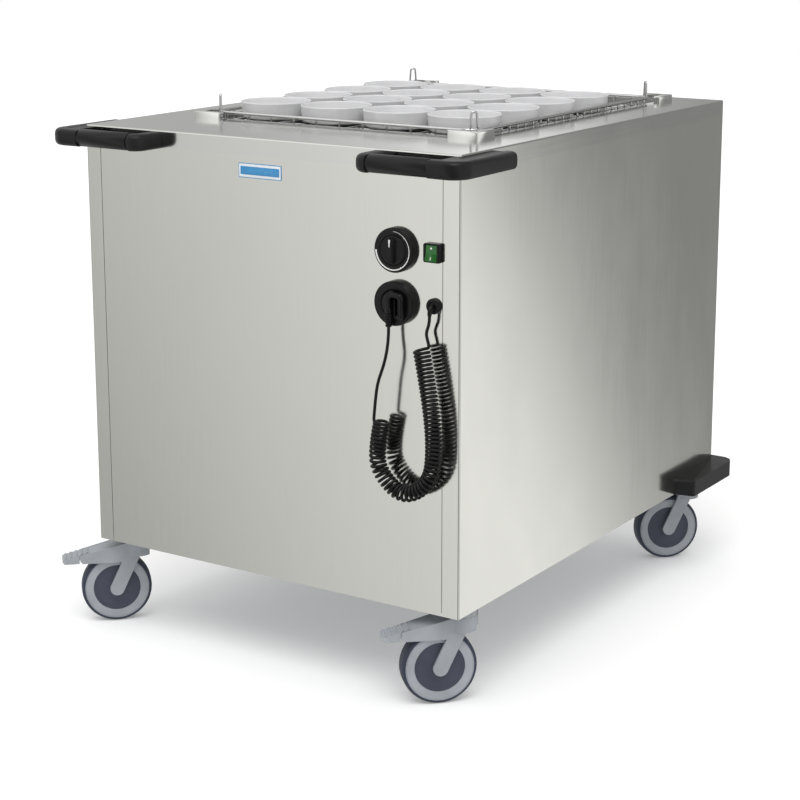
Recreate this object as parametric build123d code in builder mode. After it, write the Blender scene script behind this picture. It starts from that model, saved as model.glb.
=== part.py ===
"""Heated basket dispenser cart: a stainless cabinet on four casters, with a sprung platform
that keeps a wire basket of round bowls level with the open top. Millimetres, +Z up, +Y to the rear."""

import math
import os

from build123d import *

# Cabinet body
cabinet_width = 750
cabinet_depth = 960
body_bottom = 160
body_height = 740
sheet = 1.5
post_width = 31
seam = 1.0
apron_height = 29
edge_radius = 2.5
corner_radius = 3
return_depth = 12

# Shaft opening in the top, with the corner guides beside it
opening_width = 556
opening_front = 200
opening_rear = 62
opening_depth = cabinet_depth - opening_front - opening_rear
guide_thickness = 13
guide_leg = 57
guide_height = 10.5
guide_corner = 2
guide_edge = 1

# Shaft walls, insulation and heater
liner_bottom = 250
insulation_thickness = 25
insulation_bottom = 320
insulation_top = 880
slot_width = 44
insulation_margin = 8
guard_width = 480
guard_end_gap = 44
guard_depth = opening_depth - 2 * guard_end_gap
guard_height = 138
guard_bar = 15
guard_slot_length = 80
guard_slot_width = 12
guard_slot_columns = 4
guard_slot_rows = 9
guard_column_pitch = 110
guard_row_pitch = 60
element_diameter = 8
element_height = 70
element_lane = 120
element_lanes = 4
element_margin = 60

# Base
pan_thickness = 2
pan_flange = 30
channel_width = 60
channel_height = 30

# Platform and its spring carriage
platform_clearance = 5
platform_thickness = 2
platform_flange = 25
platform_slot_length = 96
platform_slot_width = 20
platform_slot_columns = 4
platform_slot_rows = 10
platform_column_pitch = 130
platform_slot_land = 61
platform_row_pitch = (opening_depth - 2 * platform_slot_land) / (platform_slot_rows - 1)
rail_width = 40
rail_depth = 30
rail_wall = 2
rail_gap = 7
carriage_height = 228
carriage_drop = 5
bar_thickness = 6
plate_gap = 1
arm_width = 24
arm_height = 20
lug_height = 8
lug_depth = 20
shoe_height = 30
shoe_inset = 12
shoe_chamfer = 2
spring_diameter = 16
spring_neck = 4
spring_neck_length = 12
spring_taper_length = 8
spring_pitch = 22
spring_top_drop = 20
hanger_thickness = 3

# Basket
wire = 4
rim_wire = 6
basket_width = 545
basket_front_gap = 15
basket_rear_gap = 33
basket_depth = opening_depth - basket_front_gap - basket_rear_gap
basket_corner = 28
basket_height = 24
cross_pitch = 26.5
long_pitch = 48
loop_height = 28.6
loop_width = 13
loop_neck = 9
loop_bend = 3.6
floor_drop = 5

# Bowls
bowl_diameter = 125
bowl_base_diameter = 117
bowl_height = 30
bowl_wall = 2
bowl_foot = 3
bowl_shoulder = 5
bowl_foot_edge = 1
bowl_flare = 2
bowl_columns = 4
bowl_rows = 4
bowl_pitch_x = 130.8
bowl_pitch_y = 129.1
bowl_shift_x = 3.5
bowls_from_basket_front = 276.7

# Controls on the front panel, measured from the right side and the floor
dial_diameter = 71
dial_proud = 12
dial_slope_height = 4
dial_slope_width = 5
dial_recess = 3
dial_from_side = 115.5
dial_height = 745
thermostat_size = 50
thermostat_corner = 6
thermostat_depth = 38
knob_diameter = 46
knob_base = 4
knob_base_taper = 12
knob_proud = 13
knob_grip_width = 13
knob_grip_length = 42
knob_grip_taper = 8
knob_shaft = 6
shaft_proud = 4
shaft_hole = 12
switch_from_side = 47.5
switch_height = dial_height + 1.5
switch_size = 30
switch_proud = 9
switch_corner = 2
switch_edge = 1
switch_hole = 26
switch_depth = 20
pocket_depth = 12
rocker_width = 18
rocker_length = 25
rocker_gap = 0.5
rocker_sunk = 3
socket_diameter = 71
socket_proud = 13
socket_slope = 3
socket_recess = 8
socket_from_side = 115
socket_height = dial_height - 84
gland_diameter = 25
gland_proud = 6
gland_edge = 1.5
gland_depth = 12
gland_stem = 12.5
gland_from_side = 46.5
gland_height = socket_height + 2
nose_diameter = 9
nose_distance = 14
nose_bottom = gland_height - 13

# Plug: its outline is measured from the middle of the socket
plug_diameter = 42
plug_proud = 14
plug_edge = 2.5
plug_outline = [(-13, -18), (-13, 12), (-4, 22), (20, 22), (20, -16), (12, -20)]
grip_hollow = (11, 28)
grip_hollow_place = (4, -4)
grip_hollow_corner = 4
grip_hollow_depth = 9
relief_from_middle = 3
relief_top = socket_height - 10
relief_bottom = relief_top - 25
relief_distance = 20
relief_diameter = 12.6
relief_rings = 4
relief_ring_pitch = 4
relief_ring_start = 3
relief_ring_width = 1.6
relief_ring_depth = 1.5

# Cord: its routes are measured from the right side and down from the gland
cord_diameter = 4.6
curl_diameter = 27
curls = 60
coil_distance = 24
turn_radius = 8
straight_pitch = 6.05
bend_pitch = 7.5
bend_full = 55
coil_route = [(128.7, 190.2), (138, 238), (122, 283), (84, 301.5), (46.5, 279), (32, 226), (38, 153)]
coil_route.append((55, 66))
lead_route = [(119, 30, 94), (129.5, 34.5, 125)]
lead_first_run = 22
lead_last_run = 22
tail_first_run = 11
tail_last_run = 12
end_run_share = 0.45

# Handles
handle_reach = 58
handle_side = 37
grip_diameter = 29.4
handle_height = 29
handle_top = 898
grip_start = 28
grip_end = 135
bracket_end = 165
handle_corner_radius = 18
handle_tail = 112
handle_end_radius = 12
slot_depth = 28
slot_start = 15
grip_groove = 3
spigot_step = 2
bracket_foot = 22
handle_sink = 1
handle_edge = 7

# Rear bumpers
bumper_side = 38
bumper_reach = 25
bumper_start = 175
bumper_chamfer = 15
bumper_height = 30
bumper_radius = 26
bumper_rear_leg = 60
bumper_edge = 5

# Casters
wheel_diameter = 125
wheel_width = 32
tread_thickness = 5.5
hub_disc_diameter = 83.4
hub_disc_recess = 1
hub_face_inset = 0.5
tread_bevel_width = 5
tread_bevel_depth = 3
caster_trail = 38
caster_from_side = 32
front_caster_inset = 60
rear_caster_inset = 52
axle_diameter = 12
axle_seat = 3
fork_width = 46
fork_gap = 35.6
fork_leg = 25
crown_diameter = 56
crown_bottom = 122
crown_roof = 131
leg_top_offset = 4
head_height = 12
kingpin_diameter = 16
kingpin_gap = 1
bolt_diameter = 12
bolt_head = 19
bolt_head_height = 7.5
pedal_reach = 133
pedal_tip_width = 34
pedal_tip_radius = 6
hood_end = 102
hood_toe = 9
hood_back = 5
hood_shoulder = 45
hood_front_top = 127.5
hood_bottom = 112
hood_toe_bevel = (4, 5)
hood_side_wall = 2
hood_wall_inset = 1
hood_slot_back = 5
pedal_pivot = 16
pedal_pin = 5
pedal_pin_drop = 7
pedal_pin_seat = 2.5
pedal_heel = 4
pedal_crown_gap = 0.5
pedal_seam = 0.6
pedal_back_gap = 1
pedal_thickness = 4
pedal_plate_end = 60
pedal_pad_depth = 9
pedal_lip = 3
pedal_step = 2.5
ridge_count = 5
ridge_pitch = 9.5
ridge_start = 6
ridge_radius = 2.2
ridge_inset = 2.5

# Clearances
running_fit = 0.05
knob_gap = 1
plug_clearance = 1
touching = 0.1
seat_gap = 0.3
shoe_gap = 0.3

# Places worked out from the sizes above
trail_direction = Vector(-1, -1, 0).normalized()
axle_direction = trail_direction.cross(Vector(0, 0, 1))
tip_corner = pedal_reach - pedal_tip_radius + pedal_tip_width / 2 - pedal_tip_radius
pedal_overhang = tip_corner * math.sqrt(0.5) + pedal_tip_radius - caster_from_side
cabinet_x = (pedal_overhang - bumper_side) / 2
overall_depth = cabinet_depth + handle_reach + bumper_reach
front_y = handle_reach - overall_depth / 2
rear_y = front_y + cabinet_depth
middle_y = (front_y + rear_y) / 2
left_x = cabinet_x - cabinet_width / 2
right_x = cabinet_x + cabinet_width / 2
body_top = body_bottom + body_height
panel_top = body_top - apron_height
panel_height = panel_top - body_bottom
under_top = body_top - sheet
pan_top = body_bottom + pan_thickness
opening_y = front_y + opening_front + opening_depth / 2
shaft_side = opening_width / 2
shaft_end = opening_depth / 2
basket_front = front_y + opening_front + basket_front_gap
basket_y = basket_front + basket_depth / 2
floor_wire_top = body_top - floor_drop
platform_top = floor_wire_top - 2 * wire
rail_mouth = shaft_side + rail_gap
flange_x = opening_width / 2 - platform_clearance
carriage_top = platform_top - platform_thickness - carriage_drop
carriage_bottom = carriage_top - carriage_height
bar_inner = rail_mouth + rail_wall
bar_outer = bar_inner + bar_thickness
plate_inner = shaft_side + sheet + plate_gap
plate_outer = rail_mouth - plate_gap
lug_near = rail_width / 2 + rail_wall
lug_half = lug_near + 2 * spring_pitch
spring_x = plate_inner + lug_depth / 2
spring_top = under_top - spring_top_drop
spring_bottom = carriage_bottom + lug_height
wheel_radius = wheel_diameter / 2
crown_top = body_bottom - head_height - seat_gap
pin_height = crown_top - pedal_pin_drop
handle_bottom = handle_top - handle_height - handle_sink
caster_places = {
    "front_right": (right_x - caster_from_side, front_y + front_caster_inset),
    "front_left": (left_x + caster_from_side, front_y + front_caster_inset),
    "rear_right": (right_x - caster_from_side, rear_y - rear_caster_inset),
    "rear_left": (left_x + caster_from_side, rear_y - rear_caster_inset),
}
vertical = (0, 0, 1)
os.makedirs("parts", exist_ok=True)


def save(part, name):
    """Label a finished sub-part and write its file."""
    part.label = name
    export_step(part, f"parts/{name}.step")


def front_plane(from_side=0.0, height=0.0, proud=0.0):
    """A plane parallel to the front panel, drawn as seen from the front, its normal outward."""
    return Plane(
        origin=(right_x - from_side, front_y - proud, height), x_dir=(1, 0, 0), z_dir=(0, -1, 0)
    )


def cord_place(from_side, distance, height):
    """A place in front of the cabinet, from its right side, its front and the floor."""
    return Vector(right_x - from_side, front_y - distance, height)


plug_end = cord_place(socket_from_side + relief_from_middle, relief_distance, relief_bottom)
nose_end = cord_place(gland_from_side, nose_distance, nose_bottom)


# Base: a folded floor pan, with a channel over each pair of caster bolts
def make_floor_pan():
    width = cabinet_width - 2 * sheet
    pan_front = front_y + return_depth + seat_gap
    pan_rear = rear_y - sheet
    depth = pan_rear - pan_front
    pan_y = (pan_front + pan_rear) / 2
    with BuildPart() as floor_pan:
        with BuildSketch(Plane((cabinet_x, pan_y, body_bottom))):
            Rectangle(width, depth)
        extrude(amount=pan_flange)
        with BuildSketch(Plane((cabinet_x, pan_y, pan_top))):
            Rectangle(width - 2 * pan_thickness, depth - 2 * pan_thickness)
        extrude(amount=pan_flange, mode=Mode.SUBTRACT)
        for x, y in caster_places.values():
            with BuildSketch(Plane((x, y, body_bottom))):
                Circle(bolt_diameter / 2 + running_fit)
            extrude(amount=pan_thickness, mode=Mode.SUBTRACT)
    save(floor_pan.part, "floor_pan")


def make_cross_channels():
    length = cabinet_width - 2 * sheet - 2 * pan_thickness
    with BuildPart() as cross_channels:
        for y in (front_y + front_caster_inset, rear_y - rear_caster_inset):
            with BuildSketch(Plane((cabinet_x, y, pan_top))):
                Rectangle(length, channel_width)
            extrude(amount=channel_height)
            with BuildSketch(Plane((cabinet_x, y, pan_top))):
                Rectangle(length, channel_width - 2 * pan_thickness)
            extrude(amount=channel_height - pan_thickness, mode=Mode.SUBTRACT)
    save(cross_channels.part, "cross_channels")


# Outer panels
def make_front_panel():
    half = cabinet_width / 2 - post_width - seam
    middle = Plane((cabinet_x, front_y, body_bottom))
    with BuildPart() as front_panel:
        with BuildSketch(middle):
            with BuildLine():
                Polyline(
                    (-half, return_depth), (-half, 0), (half, 0), (half, return_depth),
                    (half - sheet, return_depth), (half - sheet, sheet),
                    (-half + sheet, sheet), (-half + sheet, return_depth), close=True,
                )
            make_face()
        extrude(amount=panel_height)
        with BuildSketch(front_plane(dial_from_side, dial_height)):
            Circle(shaft_hole / 2)
        extrude(amount=-sheet, mode=Mode.SUBTRACT)
        with BuildSketch(front_plane(switch_from_side, switch_height)):
            Rectangle(switch_hole, switch_hole)
        extrude(amount=-sheet, mode=Mode.SUBTRACT)
        with BuildSketch(front_plane(gland_from_side, gland_height)):
            Circle(gland_stem / 2)
        extrude(amount=-sheet, mode=Mode.SUBTRACT)
    save(front_panel.part, "front_panel")


def make_rear_panel():
    width = cabinet_width - 2 * post_width - 2 * seam
    with BuildPart() as rear_panel:
        with BuildSketch(Plane((cabinet_x, rear_y - sheet / 2, body_bottom))):
            Rectangle(width, sheet)
        extrude(amount=panel_height)
    save(rear_panel.part, "rear_panel")


def make_side_panel(side, name):
    """A side sheet folded round both vertical edges of the cabinet. Side is 1 right, -1 left."""
    outer = side * cabinet_width / 2
    inner = side * (cabinet_width / 2 - post_width)
    with BuildPart() as side_panel:
        with BuildSketch(Plane((cabinet_x, 0, body_bottom))):
            with BuildLine():
                fold = Polyline((inner, front_y), (outer, front_y), (outer, rear_y), (inner, rear_y))
                Line(fold @ 1, fold @ 0)
            make_face()
            with Locations(((outer + inner) / 2 - side * sheet, middle_y)):
                Rectangle(post_width + sheet, cabinet_depth - 2 * sheet, mode=Mode.SUBTRACT)
        extrude(amount=panel_height)
        bends = side_panel.edges().filter_by(Axis.Z).group_by(Axis.X)[-1 if side > 0 else 0]
        fillet(bends, corner_radius)
    save(side_panel.part, name)


def make_top_cover():
    with BuildPart() as top_cover:
        with BuildSketch(Plane((cabinet_x, middle_y, panel_top))):
            RectangleRounded(cabinet_width, cabinet_depth, corner_radius)
        extrude(amount=apron_height)
        fillet(top_cover.edges().group_by(Axis.Z)[-1], edge_radius)
        with BuildSketch(Plane((cabinet_x, middle_y, panel_top))):
            Rectangle(cabinet_width - 2 * sheet, cabinet_depth - 2 * sheet)
        extrude(amount=apron_height - sheet, mode=Mode.SUBTRACT)
        with BuildSketch(Plane((cabinet_x, opening_y, under_top))):
            Rectangle(opening_width, opening_depth)
        extrude(amount=sheet, mode=Mode.SUBTRACT)
    save(top_cover.part, "top_cover")


# Shaft: six plain walls that leave a slot on each side for the platform's arms
def shaft_walls(offset, thickness, margin, end_overlap):
    """Centre and size of the walls round the shaft, seen from above."""
    side_x = shaft_side + offset + thickness / 2
    end_y = shaft_end + offset + thickness / 2
    run = shaft_end - margin
    walls = [(0, end_y, opening_width + end_overlap, thickness)]
    walls.append((0, -end_y, opening_width + end_overlap, thickness))
    for side in (1, -1):
        for end in (1, -1):
            walls.append((side * side_x, end * (margin + run / 2), thickness, run))
    return walls


def make_shaft_walls(name, offset, thickness, margin, end_overlap, bottom, top):
    with BuildPart() as walls:
        with BuildSketch(Plane((cabinet_x, opening_y, bottom))):
            for x, y, width, depth in shaft_walls(offset, thickness, margin, end_overlap):
                with Locations((x, y)):
                    Rectangle(width, depth)
        extrude(amount=top - bottom)
    save(walls.part, name)


def make_corner_guides():
    with BuildPart() as corner_guides:
        for x_side in (1, -1):
            for y_side in (1, -1):
                corner = Plane((cabinet_x, opening_y, body_top))
                x = x_side * (shaft_side + guide_thickness)
                y = y_side * (shaft_end + guide_thickness)
                x_in = x - x_side * guide_leg
                y_in = y - y_side * guide_leg
                x_wall = x - x_side * guide_thickness
                y_wall = y - y_side * guide_thickness
                with BuildSketch(corner):
                    with BuildLine():
                        Polyline(
                            (x, y), (x, y_in), (x_wall, y_in), (x_wall, y_wall),
                            (x_in, y_wall), (x_in, y), close=True,
                        )
                    make_face()
                extrude(amount=guide_height)
        uprights = corner_guides.edges().filter_by(Axis.Z)
        outer = [edge for edge in uprights
                 if abs(edge.center().X - cabinet_x) > shaft_side + guide_edge
                 and abs(edge.center().Y - opening_y) > shaft_end + guide_edge]
        fillet(outer, guide_corner)
        chamfer(corner_guides.faces().group_by(Axis.Z)[-1].edges(), guide_edge)
    save(corner_guides.part, "corner_guides")


# Heater below the platform, under a slotted guard
def make_heater_guard():
    top = pan_top + guard_height
    bar_bottom = pan_top + element_height - guard_bar
    with BuildPart() as heater_guard:
        with BuildSketch(Plane((cabinet_x, opening_y, pan_top))):
            Rectangle(guard_width, guard_depth)
        extrude(amount=guard_height)
        with BuildSketch(Plane((cabinet_x, opening_y, pan_top))):
            Rectangle(guard_width - 2 * sheet, guard_depth)
        extrude(amount=guard_height - sheet, mode=Mode.SUBTRACT)
        with BuildSketch(Plane((cabinet_x, opening_y, top - sheet))):
            with GridLocations(
                guard_column_pitch, guard_row_pitch, guard_slot_columns, guard_slot_rows
            ):
                Rectangle(guard_slot_length, guard_slot_width)
        extrude(amount=sheet, mode=Mode.SUBTRACT)
        with BuildSketch(Plane((cabinet_x, opening_y, bar_bottom))):
            with GridLocations(0, guard_depth / 2, 1, 2):
                Rectangle(guard_width - 2 * sheet, guard_bar)
        extrude(amount=guard_bar)
    save(heater_guard.part, "heater_guard")


def make_heater_element():
    height = pan_top + element_height + element_diameter / 2 + seat_gap
    reach = guard_depth / 2 - element_margin
    points = []
    for number in range(element_lanes):
        x = cabinet_x + (number - (element_lanes - 1) / 2) * element_lane
        ends = (-reach, reach) if number % 2 == 0 else (reach, -reach)
        points += [(x, opening_y + y, height) for y in ends]
    with BuildPart() as heater_element:
        with BuildLine() as route:
            FilletPolyline(points, radius=element_lane / 2 - 1)
        with BuildSketch(Plane(origin=points[0], z_dir=(0, 1, 0))):
            Circle(element_diameter / 2)
        sweep(path=route.wires()[0])
    save(heater_element.part, "heater_element")


# Platform, guided and pulled up on both sides
def make_platform():
    width = opening_width - 2 * platform_clearance
    depth = opening_depth - 2 * platform_clearance
    depth_in = depth - 2 * platform_thickness
    with BuildPart() as platform:
        with BuildSketch(Plane((cabinet_x, opening_y, platform_top))):
            Rectangle(width, depth)
        extrude(amount=-platform_flange)
        with BuildSketch(Plane((cabinet_x, opening_y, platform_top - platform_thickness))):
            Rectangle(width - 2 * platform_thickness, depth_in)
        extrude(amount=-platform_flange, mode=Mode.SUBTRACT)
        with BuildSketch(Plane((cabinet_x, opening_y, platform_top))):
            with GridLocations(
                platform_column_pitch, platform_row_pitch, platform_slot_columns, platform_slot_rows
            ):
                SlotOverall(platform_slot_length, platform_slot_width)
        extrude(amount=-platform_thickness, mode=Mode.SUBTRACT)
    save(platform.part, "platform")


def make_guide_rails():
    height = under_top - pan_top
    with BuildPart() as guide_rails:
        for side in (1, -1):
            mouth = side * rail_mouth
            with BuildSketch(Plane((cabinet_x, opening_y, pan_top))):
                with Locations((mouth + side * rail_depth / 2, 0)):
                    Rectangle(rail_depth, rail_width)
                with Locations((mouth + side * (rail_depth - rail_wall) / 2, 0)):
                    Rectangle(rail_depth - rail_wall, rail_width - 2 * rail_wall, mode=Mode.SUBTRACT)
            extrude(amount=height)
    save(guide_rails.part, "guide_rails")


def make_platform_carriages():
    with BuildPart() as platform_carriages:
        for side in (1, -1):
            plan = Plane((cabinet_x, opening_y, carriage_bottom))
            with BuildSketch(plan):
                with Locations((side * (bar_inner + bar_outer) / 2, 0)):
                    Rectangle(bar_outer - bar_inner, arm_width)
            extrude(amount=carriage_height)
            with BuildSketch(Plane((cabinet_x, opening_y, carriage_top - arm_height))):
                with Locations((side * (flange_x + bar_inner) / 2, 0)):
                    Rectangle(bar_inner - flange_x, arm_width)
            extrude(amount=arm_height)
            with BuildSketch(plan):
                with Locations((side * (plate_inner + bar_inner) / 2, 0)):
                    Rectangle(bar_inner - plate_inner, arm_width)
                with Locations((side * (plate_inner + plate_outer) / 2, 0)):
                    Rectangle(plate_outer - plate_inner, 2 * lug_half)
                for end in (1, -1):
                    with Locations((side * spring_x, end * (lug_near + lug_half) / 2)):
                        Rectangle(lug_depth, lug_half - lug_near)
            extrude(amount=lug_height)
    save(platform_carriages.part, "platform_carriages")


def make_guide_shoes():
    depth = rail_mouth + rail_depth - rail_wall - shoe_gap - bar_outer
    width = rail_width - 2 * rail_wall - 2 * shoe_gap
    with BuildPart() as guide_shoes:
        for side in (1, -1):
            for bottom in (carriage_bottom + shoe_inset, carriage_top - shoe_inset - shoe_height):
                with BuildSketch(Plane((cabinet_x, opening_y, bottom))):
                    with Locations((side * (bar_outer + depth / 2), 0)):
                        Rectangle(depth, width)
                extrude(amount=shoe_height)
        chamfer(guide_shoes.edges().filter_by(Axis.Y), shoe_chamfer)
    save(guide_shoes.part, "guide_shoes")


def spring_places():
    first = lug_near + spring_pitch / 2
    return [end * (first + number * spring_pitch) for end in (1, -1) for number in (0, 1)]


def make_spring_bank(side, name):
    radius = spring_diameter / 2
    neck = spring_neck / 2
    length = spring_top - spring_bottom
    full = spring_neck_length + spring_taper_length
    with BuildPart() as spring_bank:
        for place in spring_places():
            x = cabinet_x + side * spring_x
            y = opening_y + place
            with BuildSketch(Plane(origin=(x, y, spring_bottom), x_dir=(1, 0, 0), z_dir=(0, -1, 0))):
                with BuildLine():
                    Polyline(
                        (0, 0), (neck, 0), (neck, spring_neck_length), (radius, full),
                        (radius, length - full), (neck, length - spring_neck_length),
                        (neck, length), (0, length), close=True,
                    )
                make_face()
            revolve(axis=Axis((x, y, 0), vertical))
    save(spring_bank.part, name)


def make_spring_hangers():
    width = lug_half - lug_near
    with BuildPart() as spring_hangers:
        for side in (1, -1):
            for end in (1, -1):
                x = side * spring_x
                y = end * (lug_near + lug_half) / 2
                with BuildSketch(Plane((cabinet_x, opening_y, spring_top))):
                    with Locations((x, y)):
                        Rectangle(lug_depth, width)
                extrude(amount=hanger_thickness)
                with BuildSketch(Plane((cabinet_x, opening_y, spring_top))):
                    with Locations((x + side * (lug_depth - hanger_thickness) / 2, y)):
                        Rectangle(hanger_thickness, width)
                extrude(amount=under_top - spring_top)
    save(spring_hangers.part, "spring_hangers")


# Wire basket
def wire_profile(diameter):
    """Eight flats round a wire, one facing down, so that crossing wires and the platform meet flat."""
    return RegularPolygon(diameter / 2, 8, major_radius=False, rotation=22.5)


def wire_places(span, pitch):
    count = int(span / pitch) + 1
    return [(number - (count - 1) / 2) * pitch for number in range(count)]


rail_line_x = (basket_width - rim_wire) / 2
rail_line_y = (basket_depth - rim_wire) / 2
cross_places = wire_places(basket_depth - 2 * basket_corner, cross_pitch)
long_places = wire_places(basket_width - 2 * basket_corner, long_pitch)
long_z = floor_wire_top - wire / 2
cross_z = long_z - wire
rim_z = platform_top + basket_height - rim_wire / 2


def make_basket_floor():
    inner_x = rail_line_x - wire / 2
    inner_y = rail_line_y + wire / 2
    cross_start = (cabinet_x - inner_x, basket_y, cross_z)
    long_start = (cabinet_x, basket_y + inner_y, long_z)
    with BuildPart() as basket_floor:
        with BuildSketch(Plane(origin=cross_start, x_dir=(0, 1, 0), z_dir=(1, 0, 0))):
            with Locations([(place, 0) for place in cross_places]):
                wire_profile(wire)
        extrude(amount=2 * inner_x)
    with BuildPart() as long_wires:
        with BuildSketch(Plane(origin=long_start, x_dir=(1, 0, 0), z_dir=(0, -1, 0))):
            with Locations([(place, 0) for place in long_places]):
                wire_profile(wire)
        extrude(amount=2 * inner_y)
    save(Compound(children=[*basket_floor.part.solids(), *long_wires.part.solids()]), "basket_floor")


def bent_wire(path, upward, diameter):
    """A bent wire as one solid for each straight and each bend, joined face to face."""
    runs = []
    for edge in path.edges():
        with BuildPart() as run:
            with BuildSketch(Plane(origin=edge @ 0, x_dir=upward, z_dir=edge % 0)):
                wire_profile(diameter)
            sweep(path=edge)
        runs += run.part.solids()
    return runs


def make_basket_rings():
    x = rail_line_x
    y = rail_line_y
    corners = [(x, y), (x, -y), (-x, -y), (-x, y)]
    rings = []
    for height, diameter in ((cross_z, wire), (rim_z, rim_wire)):
        points = [(cabinet_x + a, basket_y + b, height) for a, b in corners]
        with BuildLine() as route:
            FilletPolyline(points, radius=basket_corner, close=True)
        rings += bent_wire(route.wires()[0], vertical, diameter)
    return rings


def make_basket_uprights():
    upright_top = rim_z - rim_wire / 2
    solids = []
    for foot, spots in (
        (cross_z + wire / 2, [(side * rail_line_x, place) for side in (1, -1) for place in cross_places]),
        (long_z + wire / 2, [(place, side * rail_line_y) for side in (1, -1) for place in long_places]),
    ):
        with BuildPart() as uprights:
            with BuildSketch(Plane((cabinet_x, basket_y, foot))):
                with Locations(spots):
                    wire_profile(wire)
            extrude(amount=upright_top - foot)
        solids += uprights.part.solids()
    return solids


def make_basket_loops():
    inset = basket_corner * (1 - math.sqrt(0.5))
    half = loop_width / 2
    neck = loop_neck / 2
    top = loop_height - wire / 2
    loops = []
    for x_side in (1, -1):
        for y_side in (1, -1):
            x = cabinet_x + x_side * (rail_line_x - inset)
            y = basket_y + y_side * (rail_line_y - inset)
            across = Vector(x_side, -y_side, 0).normalized()
            facing = across.cross(Vector(*vertical))
            loop = Plane(origin=(x, y, rim_z + rim_wire / 2), x_dir=across, z_dir=facing)
            with BuildLine(loop) as route:
                FilletPolyline((-half, 0), (-neck, top), (neck, top), (half, 0), radius=loop_bend)
            loops += bent_wire(route.wires()[0], facing, wire)
    return loops


def make_basket_frame():
    solids = [*make_basket_rings(), *make_basket_uprights(), *make_basket_loops()]
    save(Compound(children=solids), "basket_frame")


def make_bowls():
    top_radius = bowl_diameter / 2
    base_radius = bowl_base_diameter / 2
    shoulder_radius = base_radius + bowl_flare
    centre = Plane((cabinet_x + bowl_shift_x, basket_front + bowls_from_basket_front, 0))
    with BuildPart() as bowl:
        with BuildSketch(Plane.XZ):
            with BuildLine():
                Polyline(
                    (0, 0), (base_radius - bowl_foot_edge, 0), (shoulder_radius, bowl_shoulder),
                    (top_radius, bowl_height), (top_radius - bowl_wall, bowl_height),
                    (shoulder_radius - bowl_wall, bowl_foot), (0, bowl_foot), close=True,
                )
            make_face()
        revolve(axis=Axis.Z)
    with BuildPart() as bowls:
        with Locations(centre.offset(floor_wire_top)):
            with GridLocations(bowl_pitch_x, bowl_pitch_y, bowl_columns, bowl_rows):
                add(bowl.part)
    save(bowls.part, "bowls")


# Controls
def make_thermostat_body():
    with BuildPart() as thermostat_body:
        with BuildSketch(front_plane(dial_from_side, dial_height, -sheet)):
            RectangleRounded(thermostat_size, thermostat_size, thermostat_corner)
        extrude(amount=-thermostat_depth)
        with BuildSketch(front_plane(dial_from_side, dial_height, -sheet)):
            Circle(knob_shaft / 2)
        extrude(amount=sheet + dial_proud + shaft_proud)
    save(thermostat_body.part, "thermostat_body")


def make_knob_dial():
    radius = dial_diameter / 2
    recess = knob_diameter / 2 + knob_gap
    middle = front_plane(dial_from_side, dial_height)
    with BuildPart() as knob_dial:
        with BuildSketch(middle):
            Circle(radius)
        extrude(amount=dial_proud)
        chamfer(knob_dial.faces().sort_by(Axis.Y)[0].edges(), dial_slope_height, dial_slope_width)
        with BuildSketch(front_plane(dial_from_side, dial_height, dial_proud)):
            Circle(recess)
        extrude(amount=-dial_recess, mode=Mode.SUBTRACT)
        with BuildSketch(middle):
            Circle(knob_shaft / 2 + running_fit)
        extrude(amount=dial_proud, mode=Mode.SUBTRACT)
    save(knob_dial.part, "knob_dial")


def make_thermostat_knob():
    base = dial_proud - dial_recess + seat_gap
    with BuildPart() as thermostat_knob:
        with BuildSketch(front_plane(dial_from_side, dial_height, base)):
            Circle(knob_diameter / 2)
        extrude(amount=knob_base, taper=knob_base_taper)
        with BuildSketch(front_plane(dial_from_side, dial_height, base + knob_base / 2)):
            SlotOverall(knob_grip_length, knob_grip_width, rotation=90)
        extrude(amount=knob_proud - knob_base / 2, taper=knob_grip_taper)
        with BuildSketch(front_plane(dial_from_side, dial_height, base)):
            Circle(knob_shaft / 2 + running_fit)
        extrude(amount=dial_proud + shaft_proud - base + seat_gap, mode=Mode.SUBTRACT)
    save(thermostat_knob.part, "thermostat_knob")


def make_switch_frame():
    pocket_width = rocker_width + 2 * rocker_gap
    pocket_length = rocker_length + 2 * rocker_gap
    neck = switch_hole - 2 * seat_gap
    with BuildPart() as switch_frame:
        with BuildSketch(front_plane(switch_from_side, switch_height)):
            RectangleRounded(switch_size, switch_size, switch_corner)
        extrude(amount=switch_proud)
        chamfer(switch_frame.faces().sort_by(Axis.Y)[0].edges(), switch_edge)
        with BuildSketch(front_plane(switch_from_side, switch_height)):
            Rectangle(neck, neck)
        extrude(amount=-switch_depth)
        with BuildSketch(front_plane(switch_from_side, switch_height, switch_proud)):
            Rectangle(pocket_width, pocket_length)
        extrude(amount=-pocket_depth, mode=Mode.SUBTRACT)
    save(switch_frame.part, "switch_frame")


def make_switch_rocker():
    """A rocker with its top half pressed in, that tilts about its middle."""
    half = rocker_length / 2
    side = Plane(
        origin=(right_x - switch_from_side, front_y - switch_proud + rocker_sunk, switch_height),
        x_dir=(0, -1, 0), z_dir=(1, 0, 0),
    )
    with BuildPart() as switch_rocker:
        with BuildSketch(side):
            with BuildLine():
                Polyline(
                    (-4, -half + 3), (2.5, -half + 0.8), (5.5, -half + 0.8), (2.2, 0),
                    (2.2, half - 0.6), (-2, half - 1.6), (-6, 4), (-6, -4), close=True,
                )
            make_face()
        extrude(amount=rocker_width / 2, both=True)
    save(switch_rocker.part, "switch_rocker")


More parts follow.
